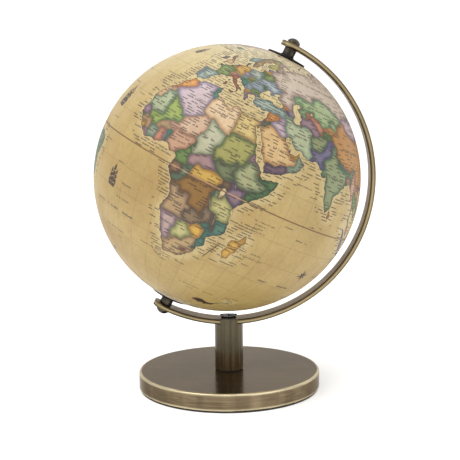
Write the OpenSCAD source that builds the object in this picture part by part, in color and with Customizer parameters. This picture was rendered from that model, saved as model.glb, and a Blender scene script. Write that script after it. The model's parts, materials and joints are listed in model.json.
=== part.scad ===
// Desk globe: a hollow ball that spins on a tilted axle, held at both poles by a
// C-shaped meridian arm on a short column and a weighted round base.
// Units are millimetres. +Z is up, the origin is the middle of the underside, and the
// arm lies in the XZ plane with its open side towards -X.

/* [Ball] */
// Outside diameter of the ball, over the printed map
ball_d = 200; // [180:1:220]
// Lean of the axle from the vertical, in degrees
tilt = 26.8; // [20:0.1:30]
// Thickness of the plastic shells
shell_wall = 1.8; // [1.4:0.1:2.6]
// Thickness of the printed map sheets
map_t = 0.3; // [0.2:0.05:0.4]
// Diameter of the dished discs at the poles
pole_disc_d = 30; // [24:1:40]

/* [Meridian arm] */
// Clear gap between the ball and the inside of the arm
arm_gap = 7.3; // [7:0.1:12]
// Thickness of the arm, measured along a radius
arm_t = 3.8; // [3:0.1:5]
// Width of the arm
arm_w = 17; // [14:0.5:17.5]
// Radius on the long edges of the arm
arm_edge = 1.1; // [0.6:0.1:1.4]

/* [Axle] */
// Diameter of the axle rod
axle_d = 5; // [4:0.5:5]
// Diameter of the spacer sleeves between the ball and the arm
spacer_d = 9.4; // [9:0.1:12]
// Diameter of the domed nuts outside the arm
cap_nut_d = 9.8; // [9.5:0.1:13]
// Height of the domed nuts
cap_nut_h = 4.1; // [3.4:0.1:6]

/* [Column] */
// Diameter of the column
column_d = 21.8; // [21:0.1:26]
// Height of the column from its foot to the underside of the arm
column_h = 35.8; // [30:0.1:80]
// Diameter of the head of the screw that holds the arm
arm_screw_head_d = 11.4; // [8:0.1:12]
// Height of that head
arm_screw_head_h = 1.6; // [1.4:0.1:3]

/* [Base] */
// Diameter of the base
base_d = 138.6; // [120:0.2:180]
// Height of the metal base cover
base_h = 13; // [11:0.1:20]
// Thickness of the sheet metal of the cover
base_wall = 1.2; // [0.8:0.1:1.6]
// Diameter of the iron weight inside the base
weight_d = 116; // [90:1:116]
// Thickness of the foam pad under the base
pad_t = 1.3; // [1:0.1:2]

/* [Hidden] */
$fn = 96;

north = 1;
south = -1;
fit_gap = 0.05;          // between parts that are pressed, glued or screwed together
turn_gap = 0.2;          // between faces that turn past each other
running_clearance = 0.06; // round the axle, in the bushings

// Ball, along a radius
ball_r = ball_d / 2;
shell_r = ball_r - map_t - fit_gap;
shell_inner_r = shell_r - shell_wall;
seam = 0.1;              // hairline between the halves at the equator
boss_d = 17;             // thickened ring round each pole hole, inside the shell
boss_depth = 9;
bushing_d = 12;
bushing_l = 8.5;
map_hole_d = 14;
ring_wall = 2;           // joining ring inside the equator
ring_h = 12;

// Stack along the axle, measured from the middle of the ball
axle_r = axle_d / 2;
bushing_top = shell_r + 0.2;
disc_t = 1.2;
disc_inner_r = ball_r + fit_gap;
disc_face = disc_inner_r + disc_t + 0.3;
disc_boss_d = 11;
washer_t = 0.6;
washer_foot = disc_face + turn_gap;
spacer_foot = washer_foot + washer_t;
arm_inner_r = ball_r + arm_gap;
arm_outer_r = arm_inner_r + arm_t;
spacer_top = arm_inner_r - 0.15;
cap_nut_foot = arm_outer_r + 0.02;
axle_end = cap_nut_foot + cap_nut_h / 2;

// Heights above the table
base_foot = pad_t;
base_top = base_foot + base_h;
gasket_t = 0.4;
column_foot = base_top + gasket_t;
column_seat = column_foot + column_h;
ball_z = column_seat + arm_outer_r;
column_top = ball_z - arm_inner_r + 0.9; // lips stand a little above the arm

// Column and its fasteners
column_wall = 2.1;
plug_d = column_d - 2 * column_wall - 2 * fit_gap;
plug_l = 14;
arm_slot_w = arm_w + 0.4;
arm_screw_r = 2;
arm_screw_l = 12;
bolt_r = 3;
bolt_head_across_flats = 10;
bolt_head_h = 4;
bolt_washer_t = 1.2;
counterbore_d = 18;
weight_top = base_top - base_wall - fit_gap;
counterbore_top = base_foot + fit_gap + bolt_head_h + bolt_washer_t + 0.6;

// A rectangle w by h round the origin, with round corners
module rounded_rect(w, h, r) {
    square([w - 2 * r, h], center = true);
    square([w, h - 2 * r], center = true);
    for (x = [-1, 1], y = [-1, 1])
        translate([x * (w / 2 - r), y * (h / 2 - r)])
            circle(r);
}

// Half section of a turned disc of radius r and height h, with rounded outer corners
module turned_section(r, h, top, bottom) {
    translate([0, bottom])
        square([r, h - top - bottom]);
    square([r - bottom, h - top]);
    translate([0, bottom])
        square([r - top, h - bottom]);
    translate([r - bottom, bottom])
        circle(bottom);
    translate([r - top, h - top])
        circle(top);
}

// Carries parts modelled with the axle on Z and the ball's middle at the origin
module on_axle(side = north) {
    translate([0, 0, ball_z])
        rotate([0, tilt, 0])
            mirror([0, 0, side == south ? 1 : 0])
                children();
}

module ring(outer_d, inner_d, h) {
    difference() {
        cylinder(d = outer_d, h = h);
        translate([0, 0, -1])
            cylinder(d = inner_d, h = h + 2);
    }
}

// Half section of the wall between two spheres, from height low up to the pole
module dome_section(outer_r, inner_r, low) {
    intersection() {
        difference() {
            circle(outer_r, $fn = 360);
            circle(inner_r, $fn = 360);
        }
        translate([0, low])
            square([outer_r + 1, outer_r + 1]);
    }
}

module base_pad() {
    color("dimgray")
        rotate_extrude($fn = 180)
            turned_section(base_d / 2 - 1, pad_t - fit_gap, 0.2, 0.3);
}

module base_cover() {
    flange_w = 4;
    color([0.55, 0.48, 0.34])
        translate([0, 0, base_foot])
            rotate_extrude($fn = 180)
                difference() {
                    turned_section(base_d / 2, base_h, 1.6, 1.2);
                    translate([0, base_wall])
                        turned_section(base_d / 2 - base_wall, base_h - 2 * base_wall, 0.6, 0.3);
                    translate([0, -1])
                        square([base_d / 2 - flange_w, base_wall + 2]);
                    square([bolt_r + 0.3, base_h + 1]);
                }
}

module base_weight() {
    color([0.25, 0.25, 0.26])
        difference() {
            translate([0, 0, base_foot + fit_gap])
                rotate_extrude()
                    turned_section(weight_d / 2, weight_top - base_foot - fit_gap, 1, 1);
            cylinder(r = bolt_r + 0.3, h = base_top);
            cylinder(d = counterbore_d, h = counterbore_top);
        }
}

module base_bolt() {
    head_foot = counterbore_top - bolt_washer_t - bolt_head_h;
    color([0.62, 0.62, 0.64])
        difference() {
            union() {
                translate([0, 0, head_foot])
                    cylinder(d = bolt_head_across_flats / cos(30), h = bolt_head_h, $fn = 6);
                translate([0, 0, head_foot + 1])
                    cylinder(r = bolt_r - fit_gap, h = column_foot + plug_l - 2 - head_foot - 1);
            }
            translate([0, 0, head_foot - 0.1])
                cylinder(r = bolt_r, h = 0.7);
        }
}

module base_bolt_washer() {
    color([0.68, 0.68, 0.7])
        translate([0, 0, counterbore_top - bolt_washer_t])
            ring(14, 2 * bolt_r + 0.5, bolt_washer_t - 0.02);
}

module column_gasket() {
    color([0.08, 0.08, 0.08])
        translate([0, 0, base_top])
            ring(column_d - 0.8, 2 * bolt_r + 0.6, gasket_t);
}

module column_tube() {
    color([0.42, 0.38, 0.28])
        difference() {
            translate([0, 0, column_foot])
                rotate_extrude()
                    difference() {
                        turned_section(column_d / 2, column_top - column_foot, 0.4, 1);
                        translate([0, -1])
                            square([column_d / 2 - column_wall, column_top]);
                    }
            arm_seat(column_d);
        }
}

// The curved slot that the arm lies in, cut across the top of the column
module arm_seat(length) {
    intersection() {
        translate([0, 0, ball_z])
            rotate([90, 0, 0])
                cylinder(r = arm_outer_r + fit_gap, h = arm_slot_w, center = true, $fn = 360);
        translate([-length, -length, column_seat - 2])
            cube([2 * length, 2 * length, 20]);
    }
}

// A plug in the tube with a tapped hole along its axis
module threaded_plug(foot, hole_r) {
    translate([0, 0, foot])
        difference() {
            cylinder(d = plug_d, h = plug_l);
            translate([0, 0, -1])
                cylinder(r = hole_r, h = plug_l + 2);
        }
}

module column_foot_plug() {
    color([0.6, 0.6, 0.62])
        threaded_plug(column_foot, bolt_r);
}

module column_saddle_plug() {
    color([0.6, 0.6, 0.62])
        difference() {
            threaded_plug(column_seat + 1 - plug_l, arm_screw_r);
            arm_seat(column_d);
        }
}

module arm_screw() {
    head_foot = ball_z - arm_inner_r + 0.17;
    recess_l = 5;
    recess_w = 1.1;
    recess_depth = 0.8;
    color([0.13, 0.12, 0.12])
        difference() {
            union() {
                translate([0, 0, head_foot])
                    rotate_extrude()
                        turned_section(arm_screw_head_d / 2, arm_screw_head_h, 0.6, 0.3);
                translate([0, 0, head_foot - arm_screw_l])
                    cylinder(r = arm_screw_r - fit_gap, h = arm_screw_l + 1);
            }
            for (turn = [0, 90])
                translate([0, 0, head_foot + arm_screw_head_h])
                    rotate([0, 0, turn])
                        cube([recess_l, recess_w, 2 * recess_depth], center = true);
        }
}

module meridian_arm() {
    end_reach = 8; // degrees of arc past each pole, before the ends are rounded
    hole_r = axle_r + 0.2;
    color([0.66, 0.58, 0.38])
        difference() {
            on_axle()
                intersection() {
                    rotate([90, 0, 0])
                        rotate([0, 0, -90 - end_reach])
                            rotate_extrude(angle = 180 + 2 * end_reach, $fn = 360)
                                translate([arm_inner_r + arm_t / 2, 0])
                                    rounded_rect(arm_t, arm_w, arm_edge);
                    union() {
                        translate([0, -arm_w, -ball_d])
                            cube([ball_d, 2 * arm_w, 2 * ball_d]);
                        cylinder(d = arm_w, h = 2 * ball_d, center = true);
                    }
                }
            on_axle()
                cylinder(r = hole_r, h = 2 * ball_d, center = true);
            translate([0, 0, column_seat - 1])
                cylinder(r = arm_screw_r + 0.2, h = 2 * arm_t);
        }
}

module axle_rod() {
    chamfer = 0.5;
    color([0.7, 0.7, 0.72])
        on_axle() {
            cylinder(r = axle_r, h = 2 * (axle_end - chamfer), center = true);
            for (side = [0, 1])
                mirror([0, 0, side])
                    translate([0, 0, axle_end - chamfer])
                        cylinder(r1 = axle_r, r2 = axle_r - chamfer, h = chamfer);
        }
}

module cap_nut(side) {
    rim_h = 0.35 * cap_nut_h;
    dome_h = cap_nut_h - rim_h;
    dome_r = (pow(cap_nut_d / 2, 2) + dome_h * dome_h) / (2 * dome_h);
    color([0.2, 0.18, 0.16])
        on_axle(side)
            translate([0, 0, cap_nut_foot])
                difference() {
                    rotate_extrude()
                        intersection() {
                            turned_section(cap_nut_d / 2, cap_nut_h, 0.3, 0.35);
                            translate([0, cap_nut_h - dome_r])
                                circle(dome_r);
                            square([cap_nut_d, cap_nut_h]);
                        }
                    translate([0, 0, -1])
                        cylinder(r = axle_r + fit_gap, h = cap_nut_h / 2 + 1.2);
                }
}

// Sleeve between the pole disc and the arm
module spacer(side) {
    length = spacer_top - spacer_foot;
    color([0.23, 0.22, 0.2])
        on_axle(side)
            translate([0, 0, spacer_foot])
                rotate_extrude()
                    difference() {
                        turned_section(spacer_d / 2, length, 0.25, 0.25);
                        translate([0, -1])
                            square([axle_r + 0.2, length + 2]);
                    }
}

module thrust_washer(side) {
    color([0.2, 0.19, 0.18])
        on_axle(side)
            translate([0, 0, washer_foot])
                ring(spacer_d, axle_d + 0.5, washer_t);
}

module shell(side) {
    color([0.88, 0.84, 0.72])
        on_axle(side)
            rotate_extrude($fn = 180)
                difference() {
                    union() {
                        dome_section(shell_r, shell_inner_r, seam / 2);
                        intersection() {
                            translate([0, shell_inner_r - boss_depth])
                                square([boss_d / 2, boss_depth + 1]);
                            circle(shell_inner_r + shell_wall / 2, $fn = 360);
                        }
                    }
                    square([bushing_d / 2, ball_d]);
                }
}

// Printed map sheet, formed over one shell
module map_sheet(side) {
    color([0.87, 0.77, 0.55])
        on_axle(side)
            rotate_extrude($fn = 180)
                difference() {
                    dome_section(ball_r, ball_r - map_t, seam / 2);
                    square([map_hole_d / 2, ball_d]);
                }
}

// Glued inside both shells, so that they meet true at the equator
module equator_ring() {
    ring_r = shell_inner_r - fit_gap;
    color([0.82, 0.78, 0.66])
        on_axle()
            rotate_extrude($fn = 180)
                intersection() {
                    difference() {
                        circle(ring_r, $fn = 360);
                        circle(ring_r - ring_wall, $fn = 360);
                    }
                    translate([0, -ring_h / 2])
                        square([ball_d, ring_h]);
                }
}

module bushing(side) {
    color([0.9, 0.9, 0.86])
        on_axle(side)
            translate([0, 0, bushing_top - bushing_l])
                rotate_extrude()
                    difference() {
                        turned_section(bushing_d / 2 - fit_gap, bushing_l, 0.4, 0.6);
                        translate([0, -1])
                            square([axle_r + running_clearance, bushing_l + 2]);
                    }
}

// Dished disc that covers the pole hole and turns with the ball
module pole_disc(side) {
    color([0.16, 0.14, 0.13])
        on_axle(side)
            rotate_extrude()
                difference() {
                    union() {
                        intersection() {
                            circle(disc_inner_r + disc_t, $fn = 360);
                            square([pole_disc_d / 2 - disc_t / 2, ball_d]);
                        }
                        rim();
                        square([disc_boss_d / 2, disc_face]);
                    }
                    circle(disc_inner_r, $fn = 360);
                    square([axle_r + 0.3, ball_d]);
                }
}

// Half-round edge of the pole disc
module rim() {
    rim_x = pole_disc_d / 2 - disc_t / 2;
    rim_r = disc_inner_r + disc_t / 2;
    translate([rim_x, sqrt(rim_r * rim_r - rim_x * rim_x)])
        circle(disc_t / 2, $fn = 48);
}

base_pad();
base_cover();
base_weight();
base_bolt();
base_bolt_washer();
column_gasket();
column_tube();
column_foot_plug();
column_saddle_plug();
arm_screw();
meridian_arm();
axle_rod();
cap_nut(north);  // cap_nut_north
cap_nut(south);  // cap_nut_south
spacer(north);  // spacer_north
spacer(south);  // spacer_south
thrust_washer(north);  // thrust_washer_north
thrust_washer(south);  // thrust_washer_south
shell(north);  // shell_north
shell(south);  // shell_south
map_sheet(north);  // map_north
map_sheet(south);  // map_south
equator_ring();
bushing(north);  // bushing_north
bushing(south);  // bushing_south
pole_disc(north);  // pole_disc_north
pole_disc(south);  // pole_disc_south
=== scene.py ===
import json
import math
import random

import bpy
import numpy as np
from mathutils import Matrix, Vector
from mathutils.geometry import delaunay_2d_cdt
from mathutils.kdtree import KDTree


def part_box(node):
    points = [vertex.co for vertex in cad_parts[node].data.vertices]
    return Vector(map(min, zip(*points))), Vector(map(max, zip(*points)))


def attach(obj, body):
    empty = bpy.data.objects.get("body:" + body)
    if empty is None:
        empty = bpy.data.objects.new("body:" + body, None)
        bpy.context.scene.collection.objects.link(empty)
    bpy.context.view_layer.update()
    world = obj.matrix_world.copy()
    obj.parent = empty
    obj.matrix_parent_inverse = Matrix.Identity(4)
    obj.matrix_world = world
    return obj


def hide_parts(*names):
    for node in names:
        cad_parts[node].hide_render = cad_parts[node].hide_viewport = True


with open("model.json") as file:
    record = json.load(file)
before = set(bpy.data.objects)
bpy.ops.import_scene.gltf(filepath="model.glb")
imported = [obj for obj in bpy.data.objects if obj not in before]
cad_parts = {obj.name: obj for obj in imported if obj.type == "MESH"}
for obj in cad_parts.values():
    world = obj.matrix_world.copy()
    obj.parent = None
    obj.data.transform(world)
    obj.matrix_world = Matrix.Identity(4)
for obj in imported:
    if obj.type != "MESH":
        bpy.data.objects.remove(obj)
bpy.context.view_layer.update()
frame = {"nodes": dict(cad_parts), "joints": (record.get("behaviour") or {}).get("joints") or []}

# A desk globe on a stand of antiqued brass. The CAD pieces get their materials here, and skins whose
# triangles follow the coasts, borders and drawings replace the two map sheets of the ball.

# ---------------------------------------------------------------- the map, in degrees
# Outlines are "longitude latitude" corners, drawn from general geography.
# Coasts and borders get their small bends from crinkled() below.

AFRICA = """-6 35.8,-5.3 35.9,-3 35.3,-2 35.1,-1 35.7,1 36.5,3 36.9,5 36.8,7 37,8.5 36.9,10 37.3,11 37,
10.6 35.8,11.1 35.2,10.1 34,11 33.5,11.5 33.1,13.2 32.9,15.2 32.3,15.7 31.4,17.5 30.9,19 30.3,20 31,
20.1 32.1,21.7 32.9,23.1 32.6,23.9 32,25.2 31.6,27.2 31.3,29 30.8,30 31.2,31 31.6,32.3 31.3,32.5 29.9,
33.2 28.5,33.8 27.2,34.5 26,35.6 24,36.9 22,37.2 21,37.3 19.5,38.5 18,39.5 15.6,41.2 14.6,42.3 13.2,
43.2 12.5,43.1 11.6,44.5 10.4,47 11.1,49 11.3,51.2 11.9,51.2 10.4,50.8 9,49.8 7.5,48.5 5,47 3.5,45.3 2,
44.2 1.2,42.6 -.4,41.5 -1.7,40.3 -2.6,39.6 -4.1,38.8 -5.9,39.4 -7,39.5 -8.5,40.4 -10.4,40.6 -13,
40.7 -15,39.8 -16.4,37 -17.9,36.2 -18.8,34.8 -19.8,35 -21,35.4 -22.2,35.5 -23.8,34.5 -24.7,32.8 -25.6,
32.9 -27,32.4 -28.5,31 -29.9,30 -31.3,28.5 -32.7,27 -33.6,25.7 -34,23.5 -34,22 -34.2,20 -34.8,
18.5 -34.3,18.4 -33.5,18 -32.7,18.2 -31.7,17.3 -30.3,16.5 -28.6,15.2 -26.8,14.8 -25.3,14.5 -23,13.5 -21,
12 -18.2,11.8 -16.5,12.5 -14,13.6 -12.3,13.8 -10.7,13.2 -8.8,12.3 -6.1,11.8 -4.7,10.5 -3.4,9 -1.6,
8.8 -.7,9.4 .2,9.5 1.2,9.8 2.5,9.7 3.9,8.9 4.5,7.1 4.4,6 4.3,5.2 5.4,4.4 6.3,2.5 6.3,1.2 6.1,-.3 5.4,
-2.1 4.8,-3.2 5.1,-4.5 5.2,-6 4.8,-7.5 4.4,-9 5.2,-10.8 6.3,-12.5 7.6,-13.3 8.6,-13.7 9.5,-15 10.8,
-15.5 11.6,-16.7 12.4,-16.6 13.6,-17.5 14.7,-16.5 16,-16.1 18,-16.3 19.3,-17 21,-16.3 22.3,-16 23.7,
-15 24.8,-14.5 26.1,-13 27.8,-11.5 28.3,-10.2 29.3,-9.7 30.5,-9.8 31.5,-8.5 33.2,-7 33.9,-6.3 35"""

EURASIA = """-5.5 36.1,-6.3 36.6,-7.4 37.2,-8.9 37,-8.8 38.3,-9.4 38.8,-8.8 40.5,-8.8 41.5,-9.2 43,
-8 43.7,-5.8 43.6,-3.8 43.5,-1.8 43.4,-1.3 44.5,-1.2 46,-2.3 47.2,-4.5 48,-4.6 48.6,-3 48.8,-1.6 48.7,
-1.8 49.7,-1.2 49.4,.2 49.6,1.6 50.2,1.7 50.9,3.5 51.4,4.5 52.3,4.8 53,6.9 53.5,8.2 53.6,8.8 54,8.6 55,
8.1 56.5,9 57.1,10.6 57.7,10.3 56.5,10.9 56.4,9.7 55.5,10 54.8,11 54.1,12.5 54.4,14.2 53.9,16.5 54.5,
18.6 54.7,19.8 54.5,21.1 55.3,21 56.8,22 57.6,23.3 57.1,24.4 57.3,24.4 58.3,23.5 58.7,23.7 59.2,
25.5 59.6,28 59.5,30 59.9,28.5 60.6,25 60.2,22.9 59.9,21.4 60.7,21.3 62,21.3 63,22.8 63.8,25 65,
25.3 65.6,24 65.8,22 65.5,21.5 64.4,20 63.6,18 62.5,17.2 61.4,17.3 60.6,18.7 60,18 59,16.7 58.6,16.4 57,
15.9 56.1,14.3 55.5,12.9 55.4,12.6 56.2,11.9 57.6,11.2 59,10.6 59.5,9.5 58.9,7.1 58,5.6 58.8,5.1 60.3,
5 61.9,6.5 62.8,8.5 63.6,10 64.2,11.5 65.2,13 66.3,14.5 67.5,16 68.7,18.5 69.7,21.5 70.2,25.7 71.1,
28.5 71,31 70.3,33 69.5,36 69.1,40 67.7,41.2 66.7,38.5 66.1,34 66.7,34.8 64.5,37.8 63.9,37.5 65,40 64.6,
40 65.9,42.2 66.4,44 66,44.2 67.9,43.5 68.6,46 68.2,46.5 67.8,48.5 67.7,53.5 68.8,57 68.6,60.5 69.8,
61 68.9,64.8 69.2,68.5 68.3,66.8 70,67 71.5,69 72.9,72.8 72.8,72.8 71,72.5 69,71.5 66.5,74 67.5,
74.5 68.8,73.8 71,75.5 72.3,80 72.5,80.5 73.6,87 75,95 76.1,99 76.5,104.3 77.7,108 76.7,112 76.3,
113.5 75.5,106 73.3,110 74,113.5 73.5,119 73,123.5 73.3,127 73.2,129 71.3,132 71.7,139.5 71.5,140 72.6,
146 72.4,150 71.5,160 69.7,161 69.2,170 69.5,171 70,176 69.8,180 68.9,180 65,177.5 64.7,179.5 62.5,
174.5 61.8,170.5 60,166 60,163.5 59.8,163 58.2,162.5 56,160 54,158.5 53,156.7 51,155.6 55,156 57,158 58,
161.5 60.3,164 62.2,160 61.7,156.5 61.6,154.5 59.5,151 59.2,143 59.3,138 56.5,135.3 54.7,138 53.8,
141.2 53.2,140.5 50.5,140.3 48.2,138 46.2,135.5 44.2,132.5 43,130.7 42.3,129.7 41,127.5 39.7,127.8 38.9,
129.4 37,129.4 35.5,127.5 34.7,126.4 34.5,126.5 36.5,126.6 37.5,124.8 38.1,125.2 39.5,124 39.9,
121.5 38.9,122 40.6,120.9 40.8,119.2 39.4,117.7 39,118.9 37.5,121 37.8,122.6 37.3,120.5 36.1,119.3 35,
120.5 33.5,121.8 31.9,121.9 30.9,121.8 29.2,120.5 27.3,119.3 25.4,117.3 23.6,115 22.8,113.8 22.3,
111 21.5,110.5 20.4,109.8 21.5,108 21.6,106.7 20.6,105.7 19,107 16.9,108.8 15.4,109.4 12.6,109 11.5,
107 10.4,106.5 9.5,104.8 8.6,104.9 10.2,103.3 10.7,102.4 12.2,100.9 12.7,100.5 13.5,99.8 12,99.2 10,
100.2 8.5,101 6.9,102.2 6.2,103.4 4.5,103.6 2.5,104.2 1.3,103.4 1.4,101.4 2.8,100.5 4.5,100.2 6.3,
98.5 8,98.4 10,98.6 12,97.7 15,97 17,95.4 15.8,94.3 16,94.5 18,93.8 19.8,92.3 21,91.8 22.4,90.4 22.2,
89 21.7,87 21.4,86.8 20.3,85 19.4,82.3 16.8,80.5 15.7,80.1 14,80.3 13,79.8 11,79.9 10.3,79 9.5,78.2 8.8,
77.5 8.1,76.4 9.8,75 12.2,74.2 14.8,73 17.5,72.8 19.5,72.7 21.2,72.3 21.8,71.8 20.9,70.3 20.9,69 22.3,
70 22.9,68.3 23.6,67.3 24.8,66.5 25.4,62 25.1,58.5 25.6,57.2 26.7,56.5 27.1,54.5 26.6,52.5 27.5,51 28.8,
50.2 30,48.8 30.3,48 29.9,48.2 28.8,49.5 27.2,50.2 26.3,50.8 25,51.2 26.1,51.6 25.2,51.5 24.3,54 24.1,
55.5 25.3,56.3 26.3,56.5 24.6,58 23.7,59.8 22.5,58.6 20.4,57.8 19,56.3 17.9,55.2 17.3,52.2 15.9,49 14.3,
45.2 13.1,43.5 12.7,42.9 14.8,42.5 16.5,41 18.5,39.2 21.3,38.4 23.5,37.2 24.9,35.5 28,34.9 29.5,
34.2 27.8,33.2 28.7,32.5 29.9,32.3 31.3,34.3 31.3,35 32.8,35.8 34.5,35.8 35.8,36.1 36.6,34.5 36.7,
33.6 36.1,32 36.1,30.6 36.8,29.3 36.3,28 36.8,27.3 37.2,26.4 38.3,26.9 39.3,26.2 40,27.5 40.4,29 40.6,
29.1 41.2,31.3 41.2,33.3 42,35.1 42.1,36.5 41.3,38.5 40.9,41.4 41.4,41.6 42.4,39.5 43.9,37.5 44.9,
37 45.6,38.3 46.4,39.2 47.1,37 46.8,35.2 46.2,35 45.5,36.5 45.3,35.4 45,33.6 44.5,32.6 45.4,33.5 46,
31.5 46.6,30.7 46.2,29.7 45.2,28.6 44.2,27.9 42.8,28 42,29 41.3,28.9 41,27.3 40.6,26.2 40.2,26 40.8,
24.4 40.8,24 40.2,23 40.4,22.7 39.5,23.3 38.9,24 38,23 37.9,23.2 36.6,22.4 36.6,21.7 37,21.3 38.2,
20.9 39,20 39.8,19.4 40.6,19.5 41.7,18.5 42.4,16.5 43.4,15.2 44.3,14.8 45.1,13.8 44.9,13.6 45.7,
12.4 45.3,12.4 44.3,13.6 43.6,14.2 42.4,16.1 41.8,16 41.4,18 40.7,18.4 39.9,17 40.4,16.6 39.8,17.1 39,
16.2 38,15.7 38,16.1 39,15.3 40.1,14.3 40.7,12.3 41.7,11 42.5,10.3 43.5,8.8 44.4,7.5 43.8,6.2 43.1,
4.8 43.4,3.2 43.2,3.2 41.9,.8 40.9,-.3 39.5,.2 38.7,-.8 37.7,-2.2 36.8,-4.4 36.7"""

NORTH_AMERICA = """-168 65.6,-162 66.5,-163.5 67.1,-166.5 68.3,-163 69.5,-156.5 71.3,-150 70.5,-141 69.7,
-135 69.4,-128 70.3,-124 69.4,-116 68.9,-114 68,-108 68,-101 67.8,-96 67.5,-94 71.8,-91 69.5,-88 68.5,
-86 68,-82 69.2,-81.5 67.5,-86 66.3,-87 64.7,-91 63.7,-94 61,-94.7 59,-92.5 57,-88 56.5,-85 55.3,
-82.3 55.1,-82 52.9,-80 51.3,-78.8 52.5,-79 54.8,-77 56.5,-78 59,-77.5 60.5,-78 62.4,-74 62.2,-71 61,
-69.5 59,-67 58.5,-65 60.3,-62 57.8,-60 55.3,-56 53,-56 51.8,-60 50.2,-66 50.2,-70 47.5,-67 49.2,
-64.5 48.8,-65 47,-64 46.1,-61.5 45.9,-61 45.2,-65.7 43.5,-66 45,-67 44.8,-70 43.6,-70 41.8,-74 40.6,
-74.9 39,-75.8 37.2,-75.6 35.3,-77.9 34,-81.2 31.7,-80 27,-80.4 25.2,-81.8 26,-82.8 28,-84 30,-86 30.3,
-89 30.3,-89.5 29.1,-91.5 29.4,-94.7 29.4,-97.2 27.8,-97.7 25,-97.8 22.3,-96.3 19.3,-94.5 18.2,
-91.8 18.6,-90.5 20.5,-87 21.5,-87.7 18.5,-88.5 16,-86 15.9,-83.2 15,-83.6 12.5,-83.7 11,-82 9,
-79.8 9.4,-77.4 8.6,-78.2 7.5,-79.5 8.9,-80.5 7.4,-83 8.3,-85.7 10,-87.5 12.9,-91 13.9,-94 16,-97 15.8,
-101.7 17.7,-105.5 20.2,-105.5 22,-108.5 25.2,-109.5 26.7,-112.3 28.9,-113.1 31.2,-114.8 31.7,-114.5 30,
-112 27,-110.5 24.3,-109.5 23.1,-112 24.8,-114 27.3,-115.8 30.2,-117.2 32.7,-118.5 34,-120.6 34.6,
-122.4 37.2,-124 40,-124.5 43,-124 46.3,-124.7 48.4,-123 48.5,-125 50,-128 52,-130.5 54.6,-133.5 57.5,
-137 58.9,-140 59.8,-145 60.3,-149 60,-151.8 59.2,-151 61,-154 59.3,-158 56.2,-164.5 54.6,-161.5 56,
-158 58.5,-162 58.7,-165 61,-164.5 63,-161 63.6,-161 64.6,-166 64.5"""

SOUTH_AMERICA = """-77.4 8.6,-75.5 10.7,-72 12.2,-71.5 11,-70 12,-68 10.6,-64.5 10.2,-62 10.7,-60.8 9.2,
-58.5 7.3,-57 6,-54 5.8,-51.5 4.3,-50 1,-49 -.3,-48 -.8,-44.5 -2.5,-41.5 -2.9,-38.5 -3.7,-35.3 -5.2,
-34.8 -8,-37 -11,-39 -13,-39 -16.5,-39.8 -19.5,-41 -22,-43 -23,-46 -24,-48.6 -26,-48.7 -28.5,
-50.3 -30.2,-52.3 -32.8,-54.9 -35,-58.4 -34.2,-57.2 -36,-57.6 -38.1,-62 -39,-62.3 -40.8,-65 -41,
-63.8 -42.5,-65.4 -44.5,-67.5 -46,-65.8 -47.8,-69 -50.5,-68.4 -52.4,-65.3 -54.7,-68.5 -55.5,-72 -54,
-74 -52,-75.5 -49,-75.5 -46.8,-73 -44,-73.7 -41.8,-73.5 -39,-73.2 -37.2,-71.6 -33,-71.5 -29,-70.5 -25,
-70.2 -20,-71.4 -17.6,-76 -14,-78.5 -10,-81 -6,-81.2 -4.3,-79.9 -3,-80.8 -2.2,-80 .5,-78.8 1.5,-77.2 4,
-77.5 6.5,-77.9 7.2"""

AUSTRALIA = """114.2 -22,113.7 -24,113.4 -26,115 -29.5,115.7 -32,115 -34.2,118 -35,120 -33.9,123.5 -33.9,
126 -32.3,129 -31.7,131.3 -31.5,134.2 -33,135.5 -34.8,137.7 -32.8,138 -35,139.5 -36,140.7 -38,
143.5 -38.8,145 -38,146.4 -39.1,150 -37.4,150.8 -34.8,152.5 -32.3,153.5 -28.5,153 -25.3,151 -23.5,
149.3 -21.5,146.5 -19,145.5 -15,143.7 -14.2,142.5 -10.7,141.6 -13,141 -17,139.3 -17.4,136 -15.5,
136.8 -12.2,133 -11.5,131 -12.3,129.5 -14.9,127 -13.9,124 -16.3,122.2 -18,120 -19.9,117 -20.7"""

ANTARCTICA = """-180 -78.5,-150 -77,-135 -74.5,-120 -74,-100 -73,-90 -73,-80 -73.3,-68 -70,-68 -67,
-57.5 -63.3,-62 -66.5,-62 -72,-62 -75,-75 -78,-60 -80,-40 -78,-30 -77,-20 -73.5,-10 -71,0 -70,15 -69.8,
35 -69,40 -69.8,50 -67,58 -67,70 -68.5,73 -70,78 -68.5,88 -66.8,100 -66,115 -66.5,135 -66,145 -67,
160 -69.3,170 -71.5,165 -75,164 -78,180 -78.5,180 -90,-180 -90"""

GREENLAND = """-73 78.2,-68 76,-60 76,-54.5 72.5,-53.5 69,-53.5 66.5,-50 62,-45 60,-42.5 62.5,-40 65,
-32.5 68.2,-22.5 70.3,-22 73.5,-19 77,-18 80,-21 82,-35 83.5,-50 82.3,-62 81.6,-66 80"""

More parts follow.
